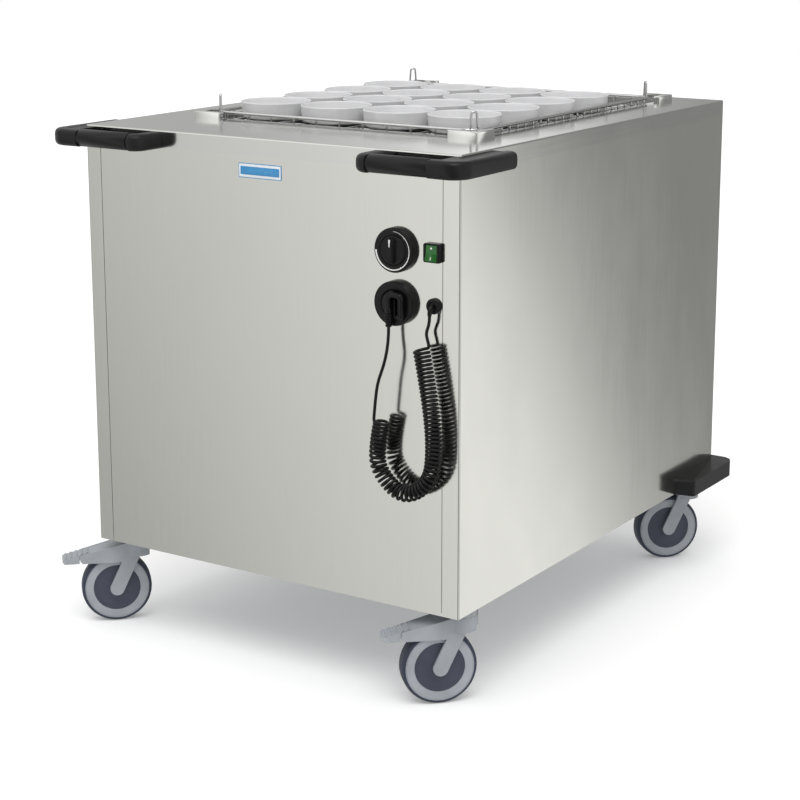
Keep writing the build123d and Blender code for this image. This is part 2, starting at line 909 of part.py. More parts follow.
def make_park_socket():
    radius = socket_diameter / 2
    with BuildPart() as park_socket:
        with BuildSketch(front_plane(socket_from_side, socket_height)):
            Circle(radius)
        extrude(amount=socket_proud)
        chamfer(park_socket.faces().sort_by(Axis.Y)[0].edges(), socket_slope)
        with BuildSketch(front_plane(socket_from_side, socket_height, socket_proud)):
            Circle(plug_diameter / 2 + plug_clearance)
        extrude(amount=-socket_recess, mode=Mode.SUBTRACT)
    save(park_socket.part, "park_socket")


def make_plug():
    """An angled plug: a round body in the socket, an arched grip, and a ribbed relief pointing down."""
    base = socket_proud - socket_recess
    face = base + socket_recess
    relief_place = Vector(plug_end.X, plug_end.Y, 0)
    rings_start = relief_bottom + relief_ring_start
    outer = relief_diameter / 2 + 1
    with BuildPart() as plug:
        with BuildSketch(front_plane(socket_from_side, socket_height, base)):
            Circle(plug_diameter / 2)
        extrude(amount=socket_recess)
        with BuildSketch(front_plane(socket_from_side, socket_height, face)):
            with BuildLine():
                Polyline(*plug_outline, close=True)
            make_face()
        extrude(amount=plug_proud)
        chamfer(plug.faces().sort_by(Axis.Y)[0].edges(), plug_edge)
        with BuildSketch(front_plane(socket_from_side, socket_height, face + plug_proud)):
            with Locations(grip_hollow_place):
                RectangleRounded(*grip_hollow, grip_hollow_corner)
        extrude(amount=-grip_hollow_depth, mode=Mode.SUBTRACT)
        with BuildSketch(Plane(relief_place + Vector(0, 0, relief_bottom))):
            Circle(relief_diameter / 2)
        extrude(amount=relief_top - relief_bottom)
        for ring in range(relief_rings):
            height = rings_start + ring * relief_ring_pitch
            with BuildSketch(Plane(relief_place + Vector(0, 0, height))):
                Circle(outer)
                Circle(relief_diameter / 2 - relief_ring_depth, mode=Mode.SUBTRACT)
            extrude(amount=relief_ring_width, mode=Mode.SUBTRACT)
    save(plug.part, "plug")


def make_cord_gland():
    with BuildPart() as cord_gland:
        with BuildSketch(front_plane(gland_from_side, gland_height)):
            Circle(gland_diameter / 2)
        extrude(amount=gland_proud)
        chamfer(cord_gland.faces().sort_by(Axis.Y)[0].edges(), gland_edge)
        with BuildSketch(front_plane(gland_from_side, gland_height)):
            Circle(gland_stem / 2 - running_fit)
        extrude(amount=-gland_depth)
        with BuildSketch(Plane(nose_end)):
            Circle(nose_diameter / 2)
        extrude(amount=gland_height - nose_bottom)
        with BuildSketch(front_plane(gland_from_side, gland_height)):
            Circle(nose_diameter / 2)
        extrude(amount=nose_distance)
    save(cord_gland.part, "cord_gland")


# Cord: a curly cord with its coil hanging in a loop, a lead to the plug and a tail to the gland
curl_radius = (curl_diameter - cord_diameter) / 2


def coil_centres():
    """The middle of the coil at every half curl: closer together where the coil hangs straight."""
    places = [cord_place(from_side, coil_distance, gland_height - drop) for from_side, drop in coil_route]
    centre_line = Spline(*places, tangents=[(0, 0, -1), (-0.2, 0, 1)])
    steps = 400
    along = [number / steps for number in range(steps + 1)]
    spots = [centre_line.position_at(place) for place in along]
    travelled = [0.0]
    for number in range(steps):
        bend = centre_line.tangent_at(along[number]).get_angle(
            centre_line.tangent_at(along[number + 1])
        )
        run = (spots[number + 1] - spots[number]).length
        tight = min(1.0, math.radians(bend) / run * bend_full)
        travelled.append(travelled[-1] + run / (straight_pitch + (bend_pitch - straight_pitch) * tight))
    half_curls = 2 * curls - 1
    centres = []
    number = 0
    for half in range(half_curls + 1):
        target = travelled[-1] * half / half_curls
        while number < steps - 1 and travelled[number + 1] < target:
            number += 1
        share = (target - travelled[number]) / (travelled[number + 1] - travelled[number])
        place = (number + share) / steps
        centres.append((centre_line.position_at(place), centre_line.tangent_at(place)))
    return centres


def helix_frame(centre, heading, turn):
    """A point on the wire's own line, with its outward direction, at this share of a turn."""
    forward = Vector(0, -1, 0)
    across = heading.cross(forward)
    outward = forward * math.cos(turn) - across * math.sin(turn)
    return centre + outward * curl_radius, outward


def curl_knots():
    """Points and directions along the wire at every half turn."""
    centres = coil_centres()
    knots = []
    for half, (centre, heading) in enumerate(centres):
        point, outward = helix_frame(centre, heading, math.pi * half)
        before = centres[max(half - 1, 0)][0]
        after = centres[min(half + 1, len(centres) - 1)][0]
        halves = min(half + 1, len(centres) - 1) - max(half - 1, 0)
        rise = (after - before).length / halves / math.pi
        around = heading.cross(outward) * -1
        knots.append((point, (around * curl_radius + heading * rise).normalized()))
    return knots, centres


def meeting_point(start, start_way, end, end_way):
    """Where two equal arcs from start to end meet, and how far their handles reach."""
    gap = end - start
    ways = start_way + end_way
    a = 2 * (1 - start_way.dot(end_way))
    b = 2 * gap.dot(ways)
    c = -gap.dot(gap)
    handle = -c / b if abs(a) < 1e-9 else (-b + math.sqrt(b * b - 4 * a * c)) / (2 * a)
    return handle, (start + start_way * handle + end - end_way * handle) * 0.5


knots, centres = curl_knots()


def turn_out(point, heading, axis):
    """The wire's quarter turn from a curl to the coil's own direction: its end and its new way."""
    way = (axis - heading * axis.dot(heading)).normalized()
    return point + heading * turn_radius + way * turn_radius, way


start_heading = knots[0][1] * -1
end_heading = knots[-1][1]
start_turn, start_way = turn_out(knots[0][0], start_heading, centres[0][1] * -1)
end_turn, end_way = turn_out(knots[-1][0], end_heading, centres[-1][1])
coil_start = start_turn + start_way * cord_diameter
coil_end = end_turn + end_way * cord_diameter


def make_curly_cord():
    """The curls in one sweep, then each end's quarter turn and straight, carried on from its face."""
    with BuildPart() as coil:
        with BuildLine() as curls_line:
            for (start, heading), (end, next_heading) in zip(knots, knots[1:]):
                handle, middle = meeting_point(start, heading, end, next_heading)
                TangentArc(start, middle, tangent=heading)
                TangentArc(middle, end, tangent=(middle - start - heading * handle).normalized())
        wire_line = curls_line.wires()[0]
        with BuildSketch(Plane(origin=wire_line @ 0, z_dir=wire_line % 0)):
            RegularPolygon(cord_diameter / 2, 4)
        sweep(path=wire_line, clean=False)
    solids = coil.part.solids()
    for place, turned, end, heading in (
        (0, start_turn, coil_start, start_heading), (1, end_turn, coil_end, end_heading)
    ):
        end_face = coil.part.faces().sort_by_distance(wire_line @ place)[0]
        with BuildPart() as cord_end:
            with BuildLine() as end_line:
                TangentArc(wire_line @ place, turned, tangent=heading)
                Line(turned, end)
            sweep(sections=end_face, path=end_line.wires()[0])
        solids += cord_end.part.solids()
    save(Compound(children=solids), "curly_cord")
    report_least_gap(wire_line)


def report_least_gap(wire_line):
    """Print the least distance from the wire to itself, measured on points a tenth of a turn apart."""
    count = 16 * curls
    points = [wire_line.position_at(number / count) for number in range(count + 1)]
    apart = 8
    least = 1e9
    for number, point in enumerate(points):
        for other in points[number + apart:number + 40]:
            least = min(least, (point - other).length)
    print(f"curly cord: {wire_line.length:.0f} mm long, least gap {least - cord_diameter:.2f} mm")


def cord_tube(points, name):
    """A free stretch of cord along rounded corners; each radius follows the shorter run beside it."""
    radii = []
    for before, corner, after in zip(points, points[1:], points[2:]):
        run_in = corner - before
        run_out = after - corner
        half_turn = math.radians(run_in.get_angle(run_out)) / 2
        radii.append(end_run_share * min(run_in.length, run_out.length) / math.tan(half_turn))
    with BuildPart() as tube:
        with BuildLine() as route:
            FilletPolyline(*points, radius=radii)
        path = route.wires()[0]
        with BuildSketch(Plane(origin=points[0], z_dir=path % 0)):
            Circle(cord_diameter / 2)
        sweep(path=path)
    save(tube.part, name)
    section = math.pi * cord_diameter ** 2 / 4
    share = tube.part.volume / (section * path.length)
    bends = ", ".join(f"{radius:.0f}" for radius in radii)
    print(f"{name}: {path.length:.0f} mm long, radii {bends} mm, volume ratio {share:.3f}")


def make_cord_ends():
    down = Vector(0, 0, -1)
    lead = [plug_end, plug_end + down * lead_first_run]
    lead += [cord_place(across, distance, gland_height - drop) for across, distance, drop in lead_route]
    lead += [coil_start + start_way * lead_last_run, coil_start]
    cord_tube(lead, "cord_lead")
    tail = [coil_end, coil_end + end_way * tail_first_run]
    tail += [nose_end + down * tail_last_run, nose_end]
    cord_tube(tail, "cord_tail")


# Push handles round the front corners
def mirrored(side, points):
    """Points measured outward from a front corner of the cabinet, on its right or left side."""
    corner = right_x if side > 0 else left_x
    return [(corner + side * x, front_y + y) for x, y in points]


def make_handle_part(name, outline, fillets, bottom, height, edge):
    """A moulded part on each side: a plan outline with rounded corners and softened edges."""
    with BuildPart() as moulding:
        for side in (1, -1):
            with BuildSketch(Plane.XY.offset(bottom)) as plan:
                with BuildLine():
                    Polyline(*mirrored(side, outline), close=True)
                make_face()
                for spots, radius in fillets:
                    for spot in mirrored(side, spots):
                        fillet(plan.vertices().sort_by_distance(Vector(*spot, 0))[0], radius)
            extrude(amount=height)
        edges = outside_edges(moulding, bottom, height)
        fillet(edges, edge)
    save(moulding.part, name)


def outside_edges(moulding, bottom, height):
    """The top and bottom edges that don't lie against the cabinet."""
    found = []
    for edge in moulding.edges():
        middle = edge.center()
        level = min(abs(middle.Z - bottom), abs(middle.Z - bottom - height)) < touching
        inside_x = left_x - touching < middle.X < right_x + touching
        inside_y = front_y - touching < middle.Y < rear_y + touching
        if level and not (inside_x and inside_y):
            found.append(edge)
    return found


def make_handle_corners():
    outline = [
        (-grip_start, -handle_reach), (handle_side, -handle_reach), (handle_side, handle_tail),
        (0, handle_tail), (0, 0), (-slot_start, 0), (-slot_start, -slot_depth),
        (-grip_start, -slot_depth),
    ]
    fillets = [
        ([(handle_side, -handle_reach)], handle_corner_radius),
        ([(handle_side, handle_tail)], handle_end_radius),
    ]
    make_handle_part(
        "handle_corners", outline, fillets, handle_bottom, handle_height, handle_edge
    )


def make_handle_brackets():
    outline = [
        (-grip_end - grip_groove, -handle_reach), (-bracket_end, -handle_reach), (-bracket_end, 0),
        (-bracket_end + bracket_foot, 0), (-bracket_end + bracket_foot, -slot_depth),
        (-grip_end - grip_groove, -slot_depth),
    ]
    fillets = [([(-bracket_end, -handle_reach)], handle_corner_radius)]
    make_handle_part(
        "handle_brackets", outline, fillets, handle_bottom, handle_height, handle_edge
    )


def make_handle_grips():
    centre_y = front_y - handle_reach + grip_diameter / 2
    centre_z = handle_top - grip_diameter / 2
    with BuildPart() as handle_grips:
        for side in (1, -1):
            corner = right_x if side > 0 else left_x
            start = (corner - side * grip_start, centre_y, centre_z)
            with BuildSketch(Plane(origin=start, x_dir=(0, 1, 0), z_dir=(-side, 0, 0))):
                Circle(grip_diameter / 2)
            extrude(amount=grip_end - grip_start)
            with BuildSketch(Plane(origin=start, x_dir=(0, 1, 0), z_dir=(-side, 0, 0))):
                Circle(grip_diameter / 2 - spigot_step)
            extrude(amount=grip_end - grip_start + grip_groove)
    save(handle_grips.part, "handle_grips")


def make_rear_bumpers():
    start = cabinet_depth - bumper_start
    end = cabinet_depth + bumper_reach
    outline = [
        (0, start), (bumper_side, start + bumper_chamfer), (bumper_side, end),
        (-bumper_rear_leg + bumper_chamfer, end), (-bumper_rear_leg, cabinet_depth),
        (0, cabinet_depth),
    ]
    fillets = [([(bumper_side, end)], bumper_radius)]
    make_handle_part("rear_bumpers", outline, fillets, body_bottom, bumper_height, bumper_edge)


# Casters: each trails towards the front left corner
def caster_side(x, y):
    """The plane of a caster's wheel through its swivel: along the trail, then up."""
    return Plane(origin=(x, y, 0), x_dir=trail_direction, z_dir=axle_direction)


def caster_plan(x, y, height):
    return Plane(origin=(x, y, height), x_dir=trail_direction, z_dir=vertical)


def axle_plane(x, y):
    """A half section of the wheel: along the axle, then outward."""
    centre = Vector(x, y, wheel_radius) + trail_direction * caster_trail
    return Plane(origin=centre, x_dir=axle_direction, z_dir=trail_direction * -1), centre


def hood_top(u):
    """Height of the brake fork's sloping top at this distance from the swivel."""
    share = (u - pedal_pivot) / (hood_end - pedal_pivot)
    return crown_top + (hood_front_top - crown_top) * share


def make_fork(name, x, y, brake):
    side = caster_side(x, y)
    toe = hood_end + hood_toe
    slot_back = pedal_pivot - hood_slot_back
    with BuildPart() as fork:
        with BuildSketch(side):
            with Locations((caster_trail, wheel_radius)):
                Circle(fork_leg / 2)
            with Locations((leg_top_offset, crown_bottom + fork_leg / 2)):
                Circle(fork_leg / 2)
            make_hull()
            if brake:
                with BuildLine():
                    Polyline(
                        (leg_top_offset, hood_bottom), (hood_end - hood_toe_bevel[0], hood_bottom),
                        (hood_end, hood_bottom + hood_toe_bevel[1]), (hood_end, hood_front_top),
                        (pedal_pivot, crown_top), (-hood_back, crown_top), close=True,
                    )
                make_face()
        extrude(amount=fork_width / 2, both=True)
        if brake:
            tip = pedal_tip_width / 2 + hood_side_wall
            half = fork_width / 2
            with BuildSketch(caster_plan(x, y, 0)):
                with BuildLine():
                    Polyline(
                        (-half, -half), (hood_shoulder, -half), (hood_end, -tip), (toe, -tip),
                        (toe, tip), (hood_end, tip), (hood_shoulder, half), (-half, half), close=True,
                    )
                make_face()
            extrude(amount=body_bottom, mode=Mode.INTERSECT)
        with BuildSketch(caster_plan(x, y, crown_bottom)):
            Circle(crown_diameter / 2)
        extrude(amount=crown_top - crown_bottom)
        with BuildSketch(side):
            with Locations((0, crown_roof / 2)):
                Rectangle(2 * toe, crown_roof)
        extrude(amount=fork_gap / 2, both=True, mode=Mode.SUBTRACT)
        if brake:
            with BuildSketch(caster_plan(x, y, crown_roof - touching)):
                with BuildLine():
                    tip = pedal_tip_width / 2 - hood_wall_inset
                    half = fork_gap / 2
                    Polyline(
                        (slot_back, -half), (hood_shoulder, -half), (toe, -tip),
                        (toe, tip), (hood_shoulder, half), (slot_back, half), close=True,
                    )
                make_face()
            extrude(amount=body_bottom, mode=Mode.SUBTRACT)
            with BuildSketch(side):
                with Locations((pedal_pivot, pin_height)):
                    Circle(pedal_pin / 2 + running_fit)
            extrude(amount=fork_gap / 2 + axle_seat, both=True, mode=Mode.SUBTRACT)
        with BuildSketch(side):
            with Locations((caster_trail, wheel_radius)):
                Circle(axle_diameter / 2 + running_fit)
        extrude(amount=fork_gap / 2 + axle_seat, both=True, mode=Mode.SUBTRACT)
        with BuildSketch(caster_plan(x, y, crown_roof)):
            Circle(kingpin_diameter / 2 + running_fit)
        extrude(amount=body_bottom, mode=Mode.SUBTRACT)
    save(fork.part, name)


def make_pedal(name, x, y):
    side = caster_side(x, y)
    tip = pedal_tip_width / 2
    neck = tip - pedal_step
    root = fork_gap / 2 - seat_gap
    heel = pedal_pivot - pedal_heel
    slot_back = pedal_pivot - hood_slot_back
    pad_start = hood_end + pedal_seam
    pad_back = hood_end + pedal_back_gap
    pad_top = hood_top(pad_start)
    lip_start = pedal_reach - pedal_lip
    with BuildPart() as pedal:
        with BuildSketch(side):
            with BuildLine():
                Polyline(
                    (heel, crown_top - pedal_lip), (pedal_pivot, crown_top - pedal_crown_gap),
                    (hood_end, pad_top), (pedal_reach, hood_top(pedal_reach)),
                    (pedal_reach, hood_bottom + pedal_lip), (lip_start, hood_bottom),
                    (pad_back, hood_bottom), (pad_back, pad_top - pedal_pad_depth),
                    (pedal_plate_end, hood_top(pedal_plate_end) - pedal_thickness),
                    (pedal_pivot, pin_height - pedal_heel), (heel, pin_height - pedal_lip),
                    close=True,
                )
            make_face()
        extrude(amount=fork_width, both=True)
        with BuildSketch(caster_plan(x, y, 0)):
            with BuildLine():
                Polyline(
                    (slot_back, -root), (hood_shoulder, -root), (pad_start, -neck),
                    (pad_start, -tip), (pedal_reach, -tip), (pedal_reach, tip),
                    (pad_start, tip), (pad_start, neck), (hood_shoulder, root),
                    (slot_back, root), close=True,
                )
            make_face()
        extrude(amount=body_bottom, mode=Mode.INTERSECT)
        ahead = Vector(x, y, hood_bottom) + trail_direction * 2 * pedal_reach
        fillet(pedal.edges().filter_by(Axis.Z).sort_by_distance(ahead)[0:2], pedal_tip_radius)
        with BuildSketch(side):
            for ridge in range(ridge_count):
                u = pedal_reach - ridge_start - ridge * ridge_pitch
                with Locations((u, hood_top(u))):
                    Circle(ridge_radius)
        extrude(amount=tip - ridge_inset, both=True)
        with BuildSketch(side):
            with Locations((pedal_pivot, pin_height)):
                Circle(pedal_pin / 2)
        extrude(amount=fork_gap / 2 + pedal_pin_seat, both=True)
    save(pedal.part, name)


def make_wheel(place, x, y):
    half = wheel_width / 2
    rim_radius = wheel_radius - tread_thickness
    disc = hub_disc_diameter / 2
    face = half - hub_face_inset
    crest = half - tread_bevel_width
    shoulder = wheel_radius - tread_bevel_depth
    section, centre = axle_plane(x, y)
    axis = Axis(centre, axle_direction)
    with BuildPart() as tyre:
        with BuildSketch(section):
            with BuildLine():
                Polyline(
                    (-half, rim_radius), (-half, shoulder), (-crest, wheel_radius),
                    (crest, wheel_radius), (half, shoulder), (half, rim_radius), close=True,
                )
            make_face()
        revolve(axis=axis)
    save(tyre.part, f"{place}_tyre")
    bore = axle_diameter / 2 + running_fit
    with BuildPart() as hub:
        with BuildSketch(section):
            with BuildLine():
                inner = face - hub_disc_recess
                Polyline(
                    (-face, rim_radius), (-face, disc), (-inner, disc), (-inner, bore),
                    (inner, bore), (inner, disc), (face, disc), (face, rim_radius), close=True,
                )
            make_face()
        revolve(axis=axis)
    save(hub.part, f"{place}_wheel_hub")


def make_axle(place, x, y):
    half = fork_gap / 2 + axle_seat - seat_gap
    centre = Vector(x, y, wheel_radius) + trail_direction * caster_trail
    with BuildPart() as axle:
        with BuildSketch(Plane(origin=centre, z_dir=axle_direction)):
            Circle(axle_diameter / 2)
        extrude(amount=half, both=True)
    save(axle.part, f"{place}_axle")


def make_caster_head(place, x, y):
    """A disc that bolts to the floor pan, and the kingpin set under its middle."""
    with BuildPart() as disc:
        with BuildSketch(caster_plan(x, y, body_bottom)):
            Circle(crown_diameter / 2)
            Circle(bolt_diameter / 2 + running_fit, mode=Mode.SUBTRACT)
        extrude(amount=-head_height)
    head_bottom = body_bottom - head_height
    with BuildPart() as kingpin:
        with BuildSketch(caster_plan(x, y, head_bottom)):
            Circle(kingpin_diameter / 2)
        extrude(amount=-(head_bottom - crown_roof - kingpin_gap))
    save(Compound(children=disc.part.solids() + kingpin.part.solids()), f"{place}_caster_head")


def make_caster_bolts():
    with BuildPart() as caster_bolts:
        for x, y in caster_places.values():
            with BuildSketch(Plane((x, y, pan_top))):
                Circle(bolt_diameter / 2)
            extrude(amount=-(pan_thickness + head_height))
            with BuildSketch(Plane((x, y, pan_top))):
                RegularPolygon(bolt_head / 2, 6, major_radius=False)
            extrude(amount=bolt_head_height)
    save(caster_bolts.part, "caster_bolts")


make_floor_pan()
make_cross_channels()
make_front_panel()
make_rear_panel()
make_side_panel(-1, "left_panel")
make_side_panel(1, "right_panel")
make_top_cover()
make_shaft_walls("shaft_liner", 0, sheet, slot_width / 2, 2 * sheet, liner_bottom, under_top)
make_shaft_walls(
    "insulation", sheet + seat_gap, insulation_thickness, lug_half + insulation_margin,
    0, insulation_bottom, insulation_top,
)
make_corner_guides()
make_heater_guard()
make_heater_element()
make_platform()
make_guide_rails()
make_platform_carriages()
make_guide_shoes()
make_spring_bank(-1, "spring_bank_left")
make_spring_bank(1, "spring_bank_right")
make_spring_hangers()
make_basket_floor()
make_basket_frame()
make_bowls()
make_thermostat_body()
make_knob_dial()
make_thermostat_knob()
make_switch_frame()
make_switch_rocker()
make_park_socket()
make_plug()
make_cord_gland()
make_curly_cord()
make_cord_ends()
make_handle_corners()
make_handle_brackets()
make_handle_grips()
make_rear_bumpers()
make_caster_bolts()
for place, (x, y) in caster_places.items():
    braked = place.startswith("front")
    make_caster_head(place, x, y)
    make_fork(f"{place}_fork", x, y, braked)
    make_wheel(place, x, y)
    make_axle(place, x, y)
    if braked:
        make_pedal(f"{place}_brake_pedal", x, y)
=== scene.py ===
"""Heated basket dispenser cart: the finished surfaces and fine shapes of its pieces, in metres."""

import math

import bmesh
import bpy
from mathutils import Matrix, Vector


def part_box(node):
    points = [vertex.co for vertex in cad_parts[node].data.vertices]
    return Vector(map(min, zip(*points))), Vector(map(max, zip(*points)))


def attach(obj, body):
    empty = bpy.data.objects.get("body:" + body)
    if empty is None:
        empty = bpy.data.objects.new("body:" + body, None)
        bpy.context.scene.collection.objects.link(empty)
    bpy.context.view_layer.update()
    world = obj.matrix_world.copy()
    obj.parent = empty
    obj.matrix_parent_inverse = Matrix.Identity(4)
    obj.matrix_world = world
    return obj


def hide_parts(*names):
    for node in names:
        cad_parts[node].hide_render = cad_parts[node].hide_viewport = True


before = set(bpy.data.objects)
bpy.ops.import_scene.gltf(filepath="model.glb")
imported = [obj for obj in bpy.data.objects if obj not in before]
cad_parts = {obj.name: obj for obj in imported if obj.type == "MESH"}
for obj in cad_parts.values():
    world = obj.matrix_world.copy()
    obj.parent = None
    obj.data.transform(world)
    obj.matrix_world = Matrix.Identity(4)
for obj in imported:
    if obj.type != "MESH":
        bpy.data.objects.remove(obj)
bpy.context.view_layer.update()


# Base: a folded floor pan of zinc-plated sheet 2 mm thick, with two folded channels spot-welded
# across it. The casters' bolts pass through the pan and are drawn up tight on it.
def paint(red, green, blue):
    """A colour as it looks on a screen, 0 to 255, turned into the light it gives back."""
    found = []
    for value in (red, green, blue):
        share = value / 255
        found.append(share / 12.92 if share < 0.04045 else ((share + 0.055) / 1.055) ** 2.4)
    return (*found, 1)


def join(material, kind, sockets, **settings):
    """A new node in the material, with its sockets set or joined by their names or numbers."""
    node = material.node_tree.nodes.new("ShaderNode" + kind)
    for name, value in settings.items():
        setattr(node, name, value)
    for name, value in sockets.items():
        if isinstance(value, bpy.types.NodeSocket):
            material.node_tree.links.new(value, node.inputs[name])
        else:
            node.inputs[name].default_value = value
    return node


def new_finish(name, colour, metallic, roughness):
    """A material of one colour: the start of every finish here."""
    material = bpy.data.materials.new(name)
    material.use_nodes = True
    shader = material.node_tree.nodes["Principled BSDF"]
    shader.inputs["Base Color"].default_value = colour
    shader.inputs["Metallic"].default_value = metallic
    shader.inputs["Roughness"].default_value = roughness
    return material


def set_finish(material, **sockets):
    """Join or set the shader's own sockets."""
    shader = material.node_tree.nodes["Principled BSDF"]
    for name, value in sockets.items():
        socket = shader.inputs[name.replace("_", " ")]
        if isinstance(value, bpy.types.NodeSocket):
            material.node_tree.links.new(value, socket)
        else:
            socket.default_value = value


def grain(material, stretch, detail=2.0, rough=0.5):
    """Noise over the piece's own place in metres, with this many waves per metre along each axis."""
    place = join(material, "TexCoord", {}).outputs["Object"]
    place = join(material, "Mapping", {"Vector": place, "Scale": stretch}).outputs["Vector"]
    return join(
        material, "TexNoise", {"Vector": place, "Scale": 1.0, "Detail": detail, "Roughness": rough}
    ).outputs["Fac"]


def between(material, share, low, high, start=0.3, end=0.7):
    """Turn a pattern from start to end into a value from low to high."""
    sockets = {"Value": share, "From Min": start, "From Max": end, "To Min": low, "To Max": high}
    return join(material, "MapRange", sockets).outputs["Result"]


def tint(material, share, first, second, start=0.3, end=0.7):
    """Turn a pattern into a colour between the first and the second."""
    share = between(material, share, 0.0, 1.0, start, end)
    return join(material, "Mix", {0: share, 6: first, 7: second}, data_type="RGBA").outputs[2]


def relief(material, height, strength, depth):
    """Bumps of this depth in metres from a pattern."""
    sockets = {"Height": height, "Strength": strength, "Distance": depth}
    set_finish(material, Normal=join(material, "Bump", sockets).outputs["Normal"])


def dress(material, *nodes):
    """Give CAD nodes a finish through their objects' own material slots."""
    for name in nodes:
        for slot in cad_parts[name].material_slots:
            slot.link = "OBJECT"
            slot.material = material


zinc = new_finish("zinc_plate", paint(176, 180, 184), 1.0, 0.4)
spangle = join(zinc, "TexVoronoi", {"Vector": join(zinc, "TexCoord", {}).outputs["Object"],
                                    "Scale": 90.0}).outputs["Color"]
spangle = join(zinc, "SeparateColor", {"Color": spangle}).outputs[0]
set_finish(zinc, Base_Color=tint(zinc, spangle, paint(164, 168, 172), paint(190, 193, 196), 0, 1),
           Roughness=between(zinc, spangle, 0.34, 0.48, 0, 1))
relief(zinc, grain(zinc, (400, 400, 400)), 0.08, 0.0004)
dress(zinc, "floor_pan", "cross_channels", "guide_rails", "platform_carriages", "spring_hangers")

bright_zinc = new_finish("bright_zinc", paint(196, 198, 200), 1.0, 0.28)
set_finish(bright_zinc, Roughness=between(bright_zinc, grain(bright_zinc, (600, 600, 600)), 0.22, 0.36))
relief(bright_zinc, grain(bright_zinc, (2000, 2000, 300)), 0.05, 0.0002)
dress(bright_zinc, "caster_bolts")


# Outer panels: brushed stainless sheet 1.5 mm thick. The side panels fold round both corners of the
# cabinet, and the front and rear panels are set between their folds behind a narrow dark seam.
def brushed(name, colour, stretch, smooth, coarse):
    """Stainless sheet with scratches in one direction, faint cloudy patches and light wipe marks."""
    steel = new_finish(name, colour, 1.0, smooth)
    scratches = grain(steel, stretch, 3.0, 0.6)
    clouds = grain(steel, (2.2, 2.2, 1.6), 3.0, 0.55)
    wiped = grain(steel, (9, 9, 5), 4.0, 0.6)
    dull = (*(share * 0.965 for share in colour[:3]), 1)
    lively = (*(min(share * 1.025, 1) for share in colour[:3]), 1)
    lines = join(steel, "Math", {0: scratches, 1: 0.55}, operation="MULTIPLY").outputs[0]
    mixed = join(steel, "Math", {0: clouds, 1: 0.45, 2: lines}, operation="MULTIPLY_ADD").outputs[0]
    rough = between(steel, mixed, smooth, coarse)
    rough = join(steel, "Math", {0: between(steel, wiped, -0.015, 0.02), 1: rough},
                 operation="ADD").outputs[0]
    set_finish(steel, Base_Color=tint(steel, mixed, dull, lively), Roughness=rough)
    relief(steel, scratches, 0.03, 0.0001)
    return steel


upright_grain = (900, 900, 7)
panel_steel = brushed("panel_steel", paint(218, 218, 213), upright_grain, 0.1, 0.15)
dress(panel_steel, "front_panel", "left_panel", "right_panel", "rear_panel")


# Top cover: one pressed stainless sheet with a turned-down apron and a soft bright edge, cut out
# over the shaft. It is polished a little brighter than the panels, its grain along the cart.
top_steel = brushed("top_steel", paint(216, 216, 213), (900, 9, 900), 0.09, 0.14)
dress(top_steel, "top_cover")


# Corner guides: four small blocks of polished stainless round the opening that lead the basket in.
# Each is an angle with rounded top edges, welded to the top cover.
def settled(name, mesh, finish, body, sharp=40):
    """Turn a built mesh into a shaded piece on its body."""
    bmesh.ops.recalc_face_normals(mesh, faces=mesh.faces)
    data = bpy.data.meshes.new(name)
    mesh.to_mesh(data)
    mesh.free()
    for face in data.polygons:
        face.use_smooth = True
    data.set_sharp_from_angle(angle=math.radians(sharp))
    data.materials.append(finish)
    piece = bpy.data.objects.new(name, data)
    bpy.context.scene.collection.objects.link(piece)
    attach(piece, body)
    return piece


def rounded(points, radii, closed=True, steps=6):
    """An outline whose corners are turned into arcs of these radii."""
    found = []
    for number, (corner, radius) in enumerate(zip(points, radii)):
        corner = Vector(corner)
        if radius == 0 or (not closed and number in (0, len(points) - 1)):
            found.append(corner)
            continue
        before = (Vector(points[number - 1]) - corner).normalized()
        after = (Vector(points[(number + 1) % len(points)]) - corner).normalized()
        half = before.angle(after) / 2
        centre = corner + (before + after).normalized() * (radius / math.sin(half))
        first = corner + before * (radius / math.tan(half)) - centre
        last = corner + after * (radius / math.tan(half)) - centre
        turn = first.angle(last)
        for step in range(steps + 1):
            share = step / steps
            spoke = first * math.sin((1 - share) * turn) + last * math.sin(share * turn)
            found.append(centre + spoke / math.sin(turn))
    return found


def raise_block(mesh, outline, low, high, soft, facing=None, steps=4):
    """A block over an outline from low to high. Its end edges are rounded where facing is true."""
    foot = [mesh.verts.new((point[0], point[1], low)) for point in outline]
    head = [mesh.verts.new((point[0], point[1], high)) for point in outline]
    faces = [mesh.faces.new(head), mesh.faces.new(foot[::-1])]
    count = len(outline)
    for number in range(count):
        after = (number + 1) % count
        faces.append(mesh.faces.new((foot[number], foot[after], head[after], head[number])))
    chosen = [edge for edge in (*faces[0].edges, *faces[1].edges)
              if facing is None or facing((edge.verts[0].co + edge.verts[1].co) / 2)]
    if soft > 0 and chosen:
        bmesh.ops.bevel(mesh, geom=chosen, offset=soft, segments=steps, profile=0.5, affect="EDGES")
    return mesh


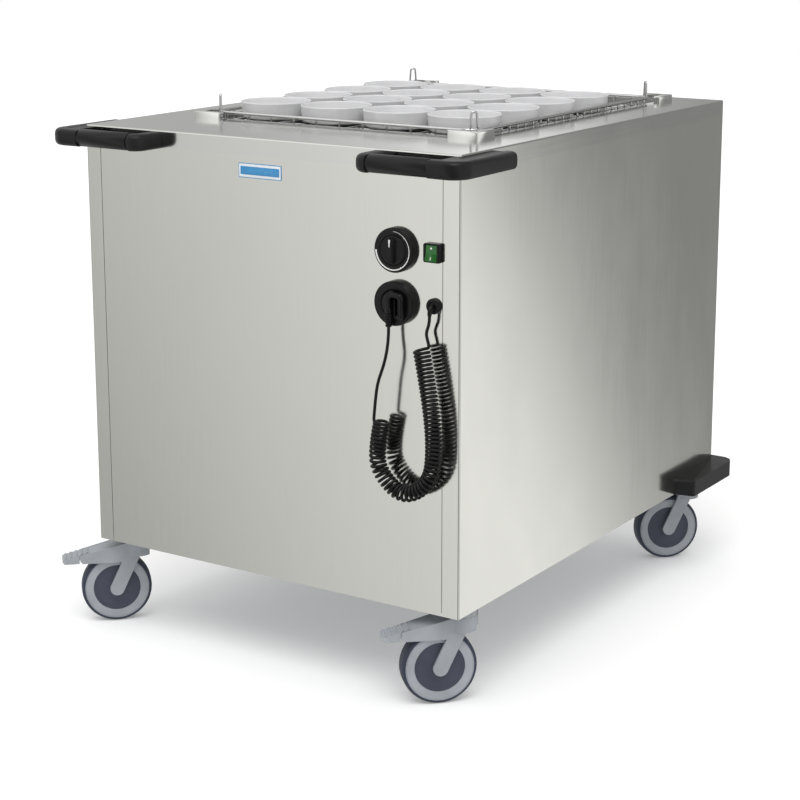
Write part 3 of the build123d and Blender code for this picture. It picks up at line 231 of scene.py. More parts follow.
guide_steel = brushed("guide_steel", paint(232, 232, 230), (700, 700, 700), 0.09, 0.15)
guide_low, guide_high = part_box("corner_guides")
guide_mesh = bmesh.new()
guide_leg = 0.057
guide_wide = 0.013
for x_side in (1, -1):
    for y_side in (1, -1):
        x = guide_high.x if x_side > 0 else guide_low.x
        y = guide_high.y if y_side > 0 else guide_low.y
        angle = [
            (x, y), (x, y - y_side * guide_leg), (x - x_side * guide_wide, y - y_side * guide_leg),
            (x - x_side * guide_wide, y - y_side * guide_wide),
            (x - x_side * guide_leg, y - y_side * guide_wide), (x - x_side * guide_leg, y),
        ]
        outline = rounded(angle, (0.003, 0.0015, 0.0015, 0.002, 0.0015, 0.0015), steps=4)
        raise_block(guide_mesh, outline, guide_low.z, guide_high.z, 0.0012,
                    lambda middle: middle.z > guide_low.z + 0.005)
guides = settled("guide_blocks", guide_mesh, guide_steel, "cabinet")
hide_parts("corner_guides")


# Shaft: six plain stainless walls round the basket, with mineral wool boards behind them, and the
# heater rod on its slotted guard at the bottom.
liner_steel = brushed("liner_steel", paint(205, 205, 202), (900, 900, 9), 0.24, 0.34)
dress(liner_steel, "shaft_liner", "heater_guard", "platform")

wool = new_finish("mineral_wool", paint(190, 178, 132), 0.0, 0.95)
fibres = grain(wool, (900, 250, 900), 6.0, 0.7)
set_finish(wool, Base_Color=tint(wool, fibres, paint(158, 144, 98), paint(210, 200, 158)))
relief(wool, fibres, 0.8, 0.003)
dress(wool, "insulation")

heater_alloy = new_finish("heater_alloy", paint(96, 90, 84), 0.9, 0.5)
heat_marks = grain(heater_alloy, (14, 14, 14), 4.0, 0.6)
set_finish(heater_alloy, Base_Color=tint(heater_alloy, heat_marks, paint(70, 64, 66),
                                         paint(124, 110, 92)))
relief(heater_alloy, grain(heater_alloy, (1500, 1500, 1500)), 0.15, 0.0002)
dress(heater_alloy, "heater_element")


# Springs and guide shoes: banks of wound steel springs on each side pull the platform up, and
# moulded shoes slide in the rails.
spring_steel = new_finish("spring_steel", paint(150, 152, 156), 1.0, 0.32)
spring_place = join(spring_steel, "TexCoord", {}).outputs["Object"]
# The windings are partly painted: the colour is dark painted shade between the turns and plain steel on each
# turn, and the same bands raise the bump.
windings_and_shade = join(spring_steel, "TexWave", {"Vector": spring_place, "Scale": 130.0}, bands_direction="Z")
set_finish(spring_steel, Base_Color=tint(spring_steel, windings_and_shade.outputs["Fac"], paint(40, 40, 42),
                                         paint(190, 192, 196), 0.05, 0.5))
relief(spring_steel, windings_and_shade.outputs["Fac"], 1.0, 0.0016)
dress(spring_steel, "spring_bank_left", "spring_bank_right")

shoe_plastic = new_finish("shoe_plastic", paint(226, 222, 206), 0.0, 0.45)
rubbed = grain(shoe_plastic, (60, 60, 400), 3.0, 0.6)
set_finish(shoe_plastic, Base_Color=tint(shoe_plastic, rubbed, paint(206, 202, 186),
                                         paint(234, 230, 216)))
relief(shoe_plastic, rubbed, 0.1, 0.0003)
dress(shoe_plastic, "guide_shoes")


# Basket: 4 mm stainless wire under a 6 mm rim wire, resistance-welded at every crossing and
# electropolished. Small lifting loops stand at its four corners.
basket_steel = new_finish("basket_steel", paint(214, 214, 214), 1.0, 0.2)
drawn = grain(basket_steel, (1200, 1200, 1200), 3.0, 0.6)
set_finish(basket_steel, Roughness=between(basket_steel, drawn, 0.14, 0.26),
           Base_Color=tint(basket_steel, drawn, paint(196, 196, 197), paint(224, 224, 224)))
relief(basket_steel, drawn, 0.06, 0.0002)


def ring_about(mesh, middle, ahead, across, radius, sides):
    """A ring of points about a middle, in the plane of two directions."""
    turns = [2 * math.pi * side / sides for side in range(sides)]
    return [mesh.verts.new(middle + (ahead * math.cos(turn) + across * math.sin(turn)) * radius)
            for turn in turns]


def run_tube(mesh, points, radius, closed=False, sides=10):
    """A round wire along these points."""
    rings = []
    count = len(points)
    ahead = None
    for number, point in enumerate(points):
        before = points[number - 1] if number or closed else point
        after = points[(number + 1) % count] if number < count - 1 or closed else point
        way = (after - before).normalized()
        if ahead is None:
            ahead = way.orthogonal().normalized()
        ahead = (ahead - way * ahead.dot(way)).normalized()
        rings.append(ring_about(mesh, point, ahead, way.cross(ahead), radius, sides))
    pairs = list(zip(rings, rings[1:]))
    if closed:
        pairs.append((rings[-1], rings[0]))
    for first, second in pairs:
        start = 0
        if first is rings[-1]:
            gaps = [(second[shift].co - first[0].co).length for shift in range(sides)]
            start = gaps.index(min(gaps))
        for side in range(sides):
            after = (side + 1) % sides
            mesh.faces.new((first[side], first[after], second[(after + start) % sides],
                            second[(side + start) % sides]))
    if not closed:
        mesh.faces.new(rings[0][::-1])
        mesh.faces.new(rings[-1])


def rounded_box(wide, tall, corner, steps):
    """A rounded rectangle that reaches wide and tall either side of its middle."""
    corners = [(wide, tall), (wide, -tall), (-wide, -tall), (-wide, tall)]
    return rounded(corners, (corner,) * 4, steps=steps)


def spots(span, pitch):
    """Places of evenly pitched wires over a span, either side of its middle."""
    count = int(span / pitch) + 1
    return [(number - (count - 1) / 2) * pitch for number in range(count)]


basket_low, basket_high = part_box("basket_frame")
basket_x = (basket_low.x + basket_high.x) / 2
basket_y = (basket_low.y + basket_high.y) / 2
thin = 0.002
thick = 0.003
basket_wide = 0.545
basket_long = 0.65
side_x = basket_wide / 2 - thick
side_y = basket_long / 2 - thick
bend = 0.028
lower_z = basket_low.z + thin
upper_z = lower_z + 2 * thin
rim_z = 0.908
cross_pitch = 0.0265
long_pitch = 0.048
cross_spots = spots(basket_long - 2 * bend, cross_pitch)
long_spots = spots(basket_wide - 2 * bend, long_pitch)
wire_mesh = bmesh.new()
for place in cross_spots:
    row = basket_y + place
    ends = [Vector((basket_x + side * side_x, row, lower_z)) for side in (-1, 1)]
    run_tube(wire_mesh, ends, thin)
for place in long_spots:
    column = basket_x + place
    ends = [Vector((column, basket_y + side * side_y, upper_z)) for side in (-1, 1)]
    run_tube(wire_mesh, ends, thin)
floor_wires = settled("basket_floor_wires", wire_mesh, basket_steel, "basket")
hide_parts("basket_floor")

frame_mesh = bmesh.new()
ring_line = rounded_box(side_x, side_y, bend, 10)
for height, radius in ((lower_z, thin), (rim_z, thick)):
    line = [Vector((basket_x + point.x, basket_y + point.y, height)) for point in ring_line]
    run_tube(frame_mesh, line, radius, closed=True)
for side in (1, -1):
    for place in cross_spots:
        foot = Vector((basket_x + side * side_x, basket_y + place, lower_z))
        run_tube(frame_mesh, [foot, Vector((foot.x, foot.y, rim_z))], thin)
    for place in long_spots:
        foot = Vector((basket_x + place, basket_y + side * side_y, lower_z))
        run_tube(frame_mesh, [foot, Vector((foot.x, foot.y, rim_z))], thin)
loop_top = basket_high.z - thin
corner_in = bend * (1 - math.sqrt(0.5))
for x_side in (1, -1):
    for y_side in (1, -1):
        middle = Vector((basket_x + x_side * (side_x - corner_in),
                         basket_y + y_side * (side_y - corner_in), 0))
        across = Vector((x_side, -y_side, 0)).normalized()
        shape = rounded([(-0.0065, rim_z), (-0.0045, loop_top), (0.0045, loop_top), (0.0065, rim_z)],
                        (0, 0.0042, 0.0042, 0), closed=False, steps=8)
        line = [middle + across * point.x + Vector((0, 0, point.y)) for point in shape]
        run_tube(frame_mesh, line, thin)
frame_wires = settled("basket_frame_wires", frame_mesh, basket_steel, "basket")
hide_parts("basket_frame")


# Bowls: sixteen round stackable bowls of glazed grey-white stoneware, four by four in the basket.
# Each has straight walls, a turned foot ring and a thin rounded rim.
def turn_piece(mesh, profile, foot, axis, sides=96):
    """A turned shape: the profile is pairs of distance along the axis and radius."""
    axis = axis.normalized()
    ahead = axis.orthogonal().normalized()
    across = axis.cross(ahead)
    rings = []
    for along, radius in profile:
        middle = foot + axis * along
        if radius < 1e-7:
            rings.append([mesh.verts.new(middle)])
            continue
        rings.append(ring_about(mesh, middle, ahead, across, radius, sides))
    for first, second in zip(rings, rings[1:]):
        for side in range(sides):
            after = (side + 1) % sides
            corners = [first[side % len(first)], first[after % len(first)],
                       second[after % len(second)], second[side % len(second)]]
            mesh.faces.new(list(dict.fromkeys(corners)))


glaze = new_finish("bowl_glaze", paint(224, 224, 225), 0.0, 0.22)
specks = grain(glaze, (700, 700, 700), 3.0, 0.7)
pooled = grain(glaze, (18, 18, 18), 3.0, 0.5)
set_finish(glaze, Base_Color=tint(glaze, pooled, paint(219, 219, 220), paint(229, 229, 230)),
           Roughness=between(glaze, specks, 0.16, 0.3), Coat_Weight=0.3)
relief(glaze, pooled, 0.06, 0.0008)
bowl_low, bowl_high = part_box("bowls")
bowl_outer = 0.0625
bowl_columns = 4
bowl_pitch_x = (bowl_high.x - bowl_low.x - 2 * bowl_outer) / (bowl_columns - 1)
bowl_pitch_y = (bowl_high.y - bowl_low.y - 2 * bowl_outer) / (bowl_columns - 1)
bowl_shape = [(0.0, 0.0), (0.0, 0.050), (0.0, 0.0525), (0.0005, 0.0535), (0.0012, 0.0565), (0.0025, 0.0587),
              (0.0045, 0.0600), (0.007, 0.0606), (0.012, 0.0610), (0.020, 0.0616), (0.026, 0.0620),
              (0.0278, 0.0624), (0.0290, 0.0625), (0.0298, 0.0620), (0.0300, 0.0612), (0.0297, 0.0603),
              (0.0285, 0.0598), (0.026, 0.0597), (0.020, 0.0595), (0.012, 0.0590), (0.0075, 0.0584),
              (0.0048, 0.0568), (0.0034, 0.054), (0.003, 0.050), (0.003, 0.0)]
bowl_mesh = bmesh.new()
for column in range(bowl_columns):
    for row in range(bowl_columns):
        foot = Vector((bowl_low.x + bowl_outer + column * bowl_pitch_x,
                       bowl_low.y + bowl_outer + row * bowl_pitch_y, bowl_low.z))
        turn_piece(bowl_mesh, bowl_shape, foot, Vector((0, 0, 1)), sides=80)
bowl_set = settled("bowl_stock", bowl_mesh, glaze, "bowl_set", sharp=50)
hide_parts("bowls")


# Thermostat: a black moulded dial plate with a printed white heating arc round its edge, and a
# round knob with a raised grip and a white pointer, pushed on to the thermostat's shaft.
def moulded(name, colour, smooth, coarse, fine=1800, strength=0.12):
    """Moulded plastic with a fine matt grain, faint flow marks and slightly worn gloss."""
    plastic = new_finish(name, colour, 0.0, smooth)
    skin = grain(plastic, (fine, fine, fine), 2.0, 0.5)
    flow = grain(plastic, (16, 16, 16), 4.0, 0.6)
    worn = (*(min(share * 1.25 + 0.004, 1) for share in colour[:3]), 1)
    set_finish(plastic, Base_Color=tint(plastic, flow, colour, worn),
               Roughness=between(plastic, flow, smooth, coarse))
    relief(plastic, skin, strength, 0.00015)
    set_finish(plastic, Specular_IOR_Level=0.25)
    return plastic


right_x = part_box("right_panel")[1].x
left_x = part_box("left_panel")[0].x
front_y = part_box("right_panel")[0].y
rear_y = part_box("right_panel")[1].y
outward = Vector((0, -1, 0))


def on_front(from_side, height, proud=0.0):
    """A place on the front, from the cart's right side and the floor."""
    return Vector((right_x - from_side, front_y - proud, height))


control_black = moulded("control_black", paint(13, 13, 14), 0.34, 0.46)
control_gloss = moulded("control_gloss", paint(12, 12, 13), 0.2, 0.3, strength=0.03)
print_white = new_finish("print_white", paint(232, 232, 230), 0.0, 0.5)
worn_print = grain(print_white, (500, 500, 500), 3.0, 0.6)
set_finish(print_white, Base_Color=tint(print_white, worn_print, paint(214, 214, 212),
                                        paint(240, 240, 238)))
dress(zinc, "thermostat_body")
dial_side = 0.1155
dial_height = 0.745
dial_face = 0.012
dial_mesh = bmesh.new()
dial_shape = [(0.0, 0.0), (0.0, 0.0355), (0.0085, 0.0355), (0.0101, 0.0352), (0.0113, 0.0344),
              (0.0118, 0.0336), (dial_face, 0.0328), (dial_face, 0.0245), (0.0118, 0.0241), (0.009, 0.024),
              (0.009, 0.0)]
turn_piece(dial_mesh, dial_shape, on_front(dial_side, dial_height), outward)
dial = settled("dial_plate", dial_mesh, control_black, "cabinet", sharp=30)
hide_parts("knob_dial")


def ring_of(mesh, place, wide, tall, corner, proud, steps=5):
    """The points of a rounded rectangle in front of the panel."""
    return [mesh.verts.new(place + Vector((point.x, -proud, point.y)))
            for point in rounded_box(wide, tall, corner, steps)]


def bridge(mesh, rings):
    """Join each ring of points to the next."""
    for first, second in zip(rings, rings[1:]):
        for number in range(len(first)):
            after = (number + 1) % len(first)
            mesh.faces.new((first[number], first[after], second[after], second[number]))


def close_up(mesh, rings):
    """Join each ring of points to the next, and close both ends."""
    bridge(mesh, rings)
    mesh.faces.new(rings[0][::-1])
    mesh.faces.new(rings[-1])


def dial_point(radius, clock, proud):
    """A point on the dial at a clock angle in degrees from twelve, seen from the front."""
    turn = math.radians(clock)
    return on_front(dial_side - radius * math.sin(turn), dial_height + radius * math.cos(turn), proud)


def print_band(mesh, first, last, inner, outer_start, outer_end, proud, steps=40):
    """A printed arc on the dial that widens from its first clock angle to its last."""
    for step in range(steps):
        clocks = [first + (last - first) * (step + more) / steps for more in (0, 1)]
        widths = [outer_start + (outer_end - outer_start) * (step + more) / steps for more in (0, 1)]
        corners = []
        for depth in (proud, proud - 0.0003):
            corners.append([mesh.verts.new(dial_point(radius, clock, depth)) for clock, radius in (
                (clocks[0], inner), (clocks[0], widths[0]), (clocks[1], widths[1]), (clocks[1], inner))])
        close_up(mesh, corners)


arc_mesh = bmesh.new()
arc_proud = dial_face + 0.00015
print_band(arc_mesh, 2, 268, 0.0297, 0.0301, 0.0324, arc_proud)
for clock in (45, 150):
    print_band(arc_mesh, clock - 1, clock + 1, 0.0285, 0.0297, 0.0297, arc_proud, steps=1)
settled("dial_print", arc_mesh, print_white, "cabinet")

knob_mesh = bmesh.new()
knob_foot = on_front(dial_side, dial_height, 0.0093)
knob_shape = [(0.0, 0.0031), (0.0, 0.0232), (0.0012, 0.0234), (0.0022, 0.0233), (0.003, 0.0228),
              (0.0036, 0.0218), (0.0042, 0.0195), (0.0048, 0.0)]
turn_piece(knob_mesh, knob_shape, knob_foot, outward)
grip_half_width = 0.0062
grip_half_height = 0.0208
grip_rings = []
for along, less in ((0.003, 0.0), (0.0113, 0.0014), (0.0124, 0.0019), (0.0128, 0.0028)):
    wide = grip_half_width - less
    tall = grip_half_height - less
    grip_rings.append(ring_of(knob_mesh, knob_foot, wide, tall, wide * 0.75, along, steps=6))
bridge(knob_mesh, grip_rings)
knob_mesh.faces.new(grip_rings[-1])
knob = settled("knob_cap", knob_mesh, control_black, "knob", sharp=35)
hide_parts("thermostat_knob")
pointer_mesh = bmesh.new()
pointer_place = 0.0129
pointer_shape = [(-0.0016, 0.0182), (0.0016, 0.0182), (0.0007, 0.0065), (-0.0007, 0.0065)]
pointer_rings = [[pointer_mesh.verts.new(knob_foot + Vector((x, -proud, z))) for x, z in pointer_shape]
                 for proud in (pointer_place, pointer_place - 0.0004)]
close_up(pointer_mesh, pointer_rings)
settled("knob_pointer", pointer_mesh, print_white, "knob")


# Switch: a lit green rocker in a deep black frame, snapped into the front panel. A dot and a bar
# are printed on the rocker, whose lower half stands out.
green = moulded("switch_green", paint(24, 92, 30), 0.14, 0.22, strength=0.02)
set_finish(green, Coat_Weight=0.5)
switch_side = 0.0475
switch_height = 0.7465
frame_half = 0.015
frame_proud = 0.009
mouth_half_wide = 0.0105
mouth_half_tall = 0.0135
switch_middle = on_front(switch_side, switch_height)
frame_mesh = bmesh.new()
frame_steps = [(frame_half, frame_half, 0.003, 0.0), (frame_half, frame_half, 0.003, frame_proud - 0.0022),
               (frame_half - 0.0003, frame_half - 0.0003, 0.003, frame_proud - 0.001),
               (frame_half - 0.001, frame_half - 0.001, 0.0028, frame_proud - 0.0003),
               (frame_half - 0.0018, frame_half - 0.0012, 0.0026, frame_proud),
               (mouth_half_wide + 0.0006, mouth_half_tall + 0.0002, 0.0016, frame_proud),
               (mouth_half_wide, mouth_half_tall, 0.0012, frame_proud - 0.0008),
               (mouth_half_wide, mouth_half_tall, 0.0012, -0.001)]
frame_rings = [ring_of(frame_mesh, switch_middle, *step) for step in frame_steps]
bridge(frame_mesh, frame_rings)
frame_mesh.faces.new(frame_rings[-1])
switch_surround = settled("switch_surround", frame_mesh, control_gloss, "cabinet", sharp=45)
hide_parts("switch_frame")

rocker_mesh = bmesh.new()
rocker_pin = on_front(switch_side, switch_height, frame_proud - 0.003)
rocker_half_wide = 0.0102
rocker_side = rounded([(-0.004, -0.0105), (0.0042, -0.0128), (0.0062, -0.0122), (0.0024, 0.0),
                       (0.0022, 0.0128), (-0.003, 0.0118), (-0.006, 0.0)],
                      (0.001, 0.0008, 0.0012, 0.006, 0.0008, 0.001, 0.003), steps=4)
rocker_rings = []
for across, less in ((-rocker_half_wide, 0.0007), (-rocker_half_wide + 0.0007, 0.0),
                     (rocker_half_wide - 0.0007, 0.0), (rocker_half_wide, 0.0007)):
    rocker_rings.append([rocker_mesh.verts.new(rocker_pin + Vector((
        across, -point.x + math.copysign(less, point.x), point.y * (1 - less / 0.0128))))
        for point in rocker_side])
close_up(rocker_mesh, rocker_rings)
rocker = settled("rocker_cap", rocker_mesh, green, "rocker", sharp=40)
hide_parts("switch_rocker")
mark_mesh = bmesh.new()
turn_piece(mark_mesh, [(0.0, 0.0), (0.0, 0.0017), (0.0005, 0.0017), (0.0005, 0.0)],
           rocker_pin + Vector((0, -0.0019, 0.0078)), outward, sides=24)
middle_proud = 0.0024
foot_proud = 0.0062
foot_drop = 0.0122
bar_corners = [(-0.0006, -0.0105), (0.0006, -0.0105), (0.0006, -0.0055), (-0.0006, -0.0055)]
bar_rings = []
for sunk in (-0.0001, 0.0005):
    bar_rings.append([])
    for x, z in bar_corners:
        proud = middle_proud + (foot_proud - middle_proud) * (-z / foot_drop)
        bar_rings[-1].append(mark_mesh.verts.new(rocker_pin + Vector((x, -proud + sunk, z))))
close_up(mark_mesh, bar_rings)
settled("rocker_marks", mark_mesh, print_white, "rocker")


# Parking socket and plug: a black round socket where the cord's angled plug is put away when the
# cart is moved. The plug is moulded on, with an arched grip, one thick leg and a ribbed relief.
socket_side = 0.115
socket_height = 0.661
socket_mesh = bmesh.new()
socket_shape = [(0.0, 0.0), (0.0, 0.0355), (0.0105, 0.0355), (0.0119, 0.0352), (0.0127, 0.0345),
                (0.013, 0.0335), (0.013, 0.0236), (0.0126, 0.0228), (0.0118, 0.0222), (0.005, 0.022),
                (0.005, 0.0)]
turn_piece(socket_mesh, socket_shape, on_front(socket_side, socket_height), outward)
socket = settled("socket_ring", socket_mesh, control_black, "cabinet", sharp=30)
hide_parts("park_socket")


def sweep_bar(mesh, points, across_half, up_half, lift, power=2.6, sides=28, ends=(0.0, 0.0)):
    """A soft-edged bar along points in a plane whose normal is lift, each end rounded off by ends."""
    lengths = [0.0]
    for first, second in zip(points, points[1:]):
        lengths.append(lengths[-1] + (second - first).length)
    total = lengths[-1]
    rows = []
    for number, (point, travelled_so_far) in enumerate(zip(points, lengths)):
        before = points[max(number - 1, 0)]
        after = points[min(number + 1, len(points) - 1)]
        rows.append((point, (after - before).normalized(), travelled_so_far))
    for end, soft in enumerate(ends):
        if soft > 0:
            way = rows[0][1] if end == 0 else rows[-1][1]
            tip = rows[0][0] if end == 0 else rows[-1][0]
            extra = []
            for step in (0.0, 0.02, 0.08, 0.2, 0.36, 0.55, 0.78):
                reach = step * soft
                spot = tip + way * reach if end == 0 else tip - way * reach
                extra.append((spot, way, reach if end == 0 else total - reach))
            if end == 0:
                inner = [row for row in rows if row[2] > soft * 0.8]
            else:
                inner = [row for row in rows if row[2] < total - soft * 0.8]
            rows = extra + inner if end == 0 else inner + extra[::-1]
    rings = []
    for point, way, along in rows:
        size = 1.0
        for soft, gone in ((ends[0], along), (ends[1], total - along)):
            if soft > 0 and gone < soft:
                size = min(size, math.sqrt(max(1 - (1 - gone / soft) ** 2, 0.0)) * 0.55 + 0.45)
        across = lift.cross(way).normalized()
        ring = []
        for side in range(sides):
            turn = 2 * math.pi * side / sides
            wide = math.copysign(abs(math.cos(turn)) ** (2 / power), math.cos(turn)) * across_half
            tall = math.copysign(abs(math.sin(turn)) ** (2 / power), math.sin(turn)) * up_half
            ring.append(mesh.verts.new(point + across * wide * size + lift * tall * size))
        rings.append(ring)
    close_up(mesh, rings)


def in_front(points, proud, corner, steps=7):
    """Points of a rounded line in front of the socket, measured from its middle."""
    line = rounded(points, [0] + [corner] * (len(points) - 2) + [0], closed=False, steps=steps)
    return [on_front(socket_side - point.x, socket_height + point.y, proud) for point in line]


plug_mesh = bmesh.new()
turn_piece(plug_mesh, [(0.005, 0.0), (0.005, 0.0205), (0.0135, 0.0205), (0.0146, 0.0195), (0.0146, 0.0)],
           on_front(socket_side, socket_height), outward, sides=72)
arch = in_front([(-0.003, -0.006), (-0.004, 0.013), (0.005, 0.0165), (0.0195, 0.0145), (0.0195, -0.021)],
                0.0185, 0.007)
sweep_bar(plug_mesh, arch, 0.0048, 0.0062, outward, power=3.2, ends=(0.003, 0.004))
blade = in_front([(0.0075, 0.009), (0.0075, -0.02)], 0.0165, 0)
sweep_bar(plug_mesh, blade, 0.0011, 0.0042, outward, power=4, ends=(0.002, 0.002))
heel = in_front([(0.003, -0.019), (0.0215, -0.021)], 0.0155, 0)
sweep_bar(plug_mesh, heel, 0.0035, 0.003, outward, power=3.5, ends=(0.002, 0.002))
relief_place = on_front(0.118, 0.0, 0.020)
relief_shape = [(0.6255, 0.0), (0.6255, 0.0040), (0.6262, 0.0047)]
for number in range(5):
    low = 0.6265 + number * 0.0042
    wide = 0.0048 + number * 0.00035
    relief_shape += [(low, wide), (low + 0.0004, wide + 0.0004), (low + 0.0022, wide + 0.0004),
                     (low + 0.0026, wide), (low + 0.0028, wide - 0.0012), (low + 0.004, wide - 0.0011)]
relief_shape += [(0.6490, 0.0062), (0.6560, 0.0056), (0.6575, 0.0040), (0.6578, 0.0)]
turn_piece(plug_mesh, relief_shape, relief_place, Vector((0, 0, 1)), sides=40)
plug = settled("angled_plug", plug_mesh, control_gloss, "cabinet", sharp=38)
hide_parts("plug")


# Cord gland: a black moulded bushing in the front panel whose short nose turns the cord down.
# Its flange clips flat against the steel.
gland_side = 0.0465
gland_height = 0.663
gland_mesh = bmesh.new()
gland_shape = [(-0.012, 0.0), (-0.012, 0.0061), (0.0, 0.0061), (0.0, 0.0125), (0.0038, 0.0125),
               (0.0052, 0.0119), (0.006, 0.0106), (0.006, 0.0076), (0.0045, 0.0062), (0.0045, 0.0)]
turn_piece(gland_mesh, gland_shape, on_front(gland_side, gland_height), outward, sides=64)
elbow = rounded([(0.004, gland_height), (0.014, gland_height), (0.014, 0.65)], (0, 0.0068, 0),
                closed=False, steps=8)
run_tube(gland_mesh, [on_front(gland_side, point.y, point.x) for point in elbow], 0.0034, sides=24)
gland = settled("gland_bush", gland_mesh, control_black, "cabinet", sharp=35)
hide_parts("cord_gland")


# Cord: a black rubber curly cord 5 mm thick. A short tail leaves the gland, the coil hangs in a
# loop, and a straight lead goes up to the parked plug.
cord_rubber = moulded("cord_rubber", paint(11, 11, 12), 0.28, 0.42, fine=2600, strength=0.1)
cord_half = 0.0025
coil_half = 0.0112
coil_distance = 0.024
coil_turns = 59.5
points_per_turn = 16
coil_route = [(0.1287, 0.4728), (0.1402, 0.4214), (0.1309, 0.3854), (0.0880, 0.3533), (0.0392, 0.3845),
              (0.0303, 0.4341), (0.0367, 0.5107), (0.0550, 0.5970)]
tail_route = [(0.0465, 0.014, 0.650), (0.0465, 0.014, 0.638), (0.0539, 0.0128, 0.6219),
              (0.0509, 0.0128, 0.6113), (0.0473, 0.0128, 0.5992)]
lead_route = [(0.1367, 0.0352, 0.4736), (0.1354, 0.0352, 0.4861), (0.1332, 0.0352, 0.5080),
              (0.1295, 0.0345, 0.5380), (0.1190, 0.0300, 0.5690), (0.1180, 0.0200, 0.6040),
              (0.1180, 0.0200, 0.6260)]


def smooth_curve(name, points, resolution):
    """A smooth open line that these points pull into shape."""
    data = bpy.data.curves.new(name, "CURVE")
    data.dimensions = "3D"
    data.resolution_u = resolution
    line = data.splines.new("NURBS")
    line.points.add(len(points) - 1)
    for spot, point in zip(line.points, points):
        spot.co = (*point, 1)
    line.order_u = 3
    line.use_endpoint_u = True
    return data


route_data = smooth_curve("coil_line", [on_front(x, z, coil_distance) for x, z in coil_route], 60)
route_object = bpy.data.objects.new("coil_line", route_data)
route_mesh = bpy.data.meshes.new_from_object(route_object)
route_points = [vertex.co.copy() for vertex in route_mesh.vertices]
bpy.data.objects.remove(route_object)
bpy.data.meshes.remove(route_mesh)
hanging_pitch = 6.05
bend_pitch = 1.45
tightest_bend = 0.055
travelled = [0.0]
for number, (first, second) in enumerate(zip(route_points, route_points[1:])):
    before = route_points[max(number - 1, 0)]
    bent = (second - first).angle(first - before) if number else 0.0
    run = (second - first).length
    tight = min(1.0, bent / run * tightest_bend)
    travelled.append(travelled[-1] + run / (hanging_pitch + bend_pitch * tight))
helix = []
steps = round(coil_turns * points_per_turn)
reach = coil_half / ((3 + math.cos(2 * math.pi / points_per_turn)) / 4)
place = 0
for step in range(steps + 1):
    target = travelled[-1] * step / steps
    while place < len(travelled) - 2 and travelled[place + 1] < target:
        place += 1
    share = (target - travelled[place]) / (travelled[place + 1] - travelled[place])
    heading = (route_points[place + 1] - route_points[place]).normalized()
    middle = route_points[place].lerp(route_points[place + 1], share)
    across = heading.cross(outward)
    turn = 2 * math.pi * step / points_per_turn
    helix.append(middle + (outward * math.cos(turn) - across * math.sin(turn)) * reach)
cord_points = [on_front(x, z, y) for x, y, z in tail_route]
cord_points += helix[::-1]
cord_points += [on_front(x, z, y) for x, y, z in lead_route]
cord_data = smooth_curve("curly_lead", cord_points, 3)
cord_data.bevel_depth = cord_half
cord_data.bevel_resolution = 4
cord_data.use_fill_caps = True
cord_data.materials.append(cord_rubber)
cord = bpy.data.objects.new("curly_lead", cord_data)
bpy.context.scene.collection.objects.link(cord)
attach(cord, "cabinet")
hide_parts("curly_cord", "cord_lead", "cord_tail")


# Push handles: round the two front corners at hand height, each a soft-edged moulded corner, a
# smooth round grip and an inner bracket, screwed through the front panel and the side.
handle_black = moulded("handle_black", paint(22, 22, 23), 0.32, 0.44, fine=1500, strength=0.1)
grip_black = moulded("grip_black", paint(18, 18, 19), 0.26, 0.38, fine=1500, strength=0.05)
corner_low, corner_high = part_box("handle_corners")
handle_reach = front_y - corner_low.y
handle_out = corner_high.x - right_x


def beside(side, points):
    """Places measured outward from the cart's front corner on one side."""
    corner = right_x if side > 0 else left_x
    return [(corner + side * x, front_y + y) for x, y in points]


def clear_of_body(middle):
    """True away from the faces that lie on the cabinet."""
    within_x = left_x - 0.0002 < middle.x < right_x + 0.0002
    within_y = front_y - 0.0002 < middle.y < rear_y + 0.0002
    return not (within_x and within_y)


handle_middle = (corner_low.z + corner_high.z) / 2
handle_tall = (corner_high.z - corner_low.z) / 2
bar_half = 0.0146
upward = Vector((0, 0, 1))
corner_mesh = bmesh.new()
bracket_mesh = bmesh.new()
for side in (1, -1):
    run = [(-0.028, -handle_reach + bar_half), (handle_out - bar_half, -handle_reach + bar_half),
           (handle_out - bar_half, 0.112)]
    line = rounded(beside(side, run), (0, 0.019, 0), closed=False, steps=12)
    line = [Vector((point.x, point.y, handle_middle)) for point in line]
    sweep_bar(corner_mesh, line, bar_half, handle_tall, upward, power=3.4, sides=40, ends=(0.0012, 0.008))
    web = [(-0.015, -0.034), (handle_out - bar_half, -0.034), (handle_out - bar_half, 0.104), (0, 0.104),
           (0, 0), (-0.015, 0)]
    outline = [Vector(point) for point in beside(side, web)]
    raise_block(corner_mesh, outline, corner_low.z + 0.0012, corner_high.z - 0.0012, 0)
    run = [(-0.1375, -handle_reach + bar_half), (-0.165 + bar_half, -handle_reach + bar_half),
           (-0.165 + bar_half, 0)]
    line = rounded(beside(side, run), (0, 0.0125, 0), closed=False, steps=12)
    line = [Vector((point.x, point.y, handle_middle)) for point in line]
    sweep_bar(bracket_mesh, line, bar_half, handle_tall, upward, power=3.0, sides=40, ends=(0.0012, 0.0))
corner_pieces = settled("corner_mouldings", corner_mesh, handle_black, "cabinet", sharp=50)
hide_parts("handle_corners")
bracket_pieces = settled("bracket_mouldings", bracket_mesh, handle_black, "cabinet",
                         sharp=50)
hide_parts("handle_brackets")
grip_low, grip_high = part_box("handle_grips")
grip_middle = Vector((0, (grip_low.y + grip_high.y) / 2, (grip_low.z + grip_high.z) / 2))
grip_mesh = bmesh.new()
for side in (1, -1):
    corner = right_x if side > 0 else left_x
    start = Vector((corner - side * 0.028, grip_middle.y, grip_middle.z))
    shape = [(0.0, 0.0), (0.0, 0.0144), (0.0006, 0.0147), (0.1062, 0.0147), (0.107, 0.0143), (0.107, 0.0127),
             (0.11, 0.0127), (0.11, 0.0)]
    turn_piece(grip_mesh, shape, start, Vector((-side, 0, 0)), sides=72)
grips = settled("grip_tubes", grip_mesh, grip_black, "cabinet", sharp=35)
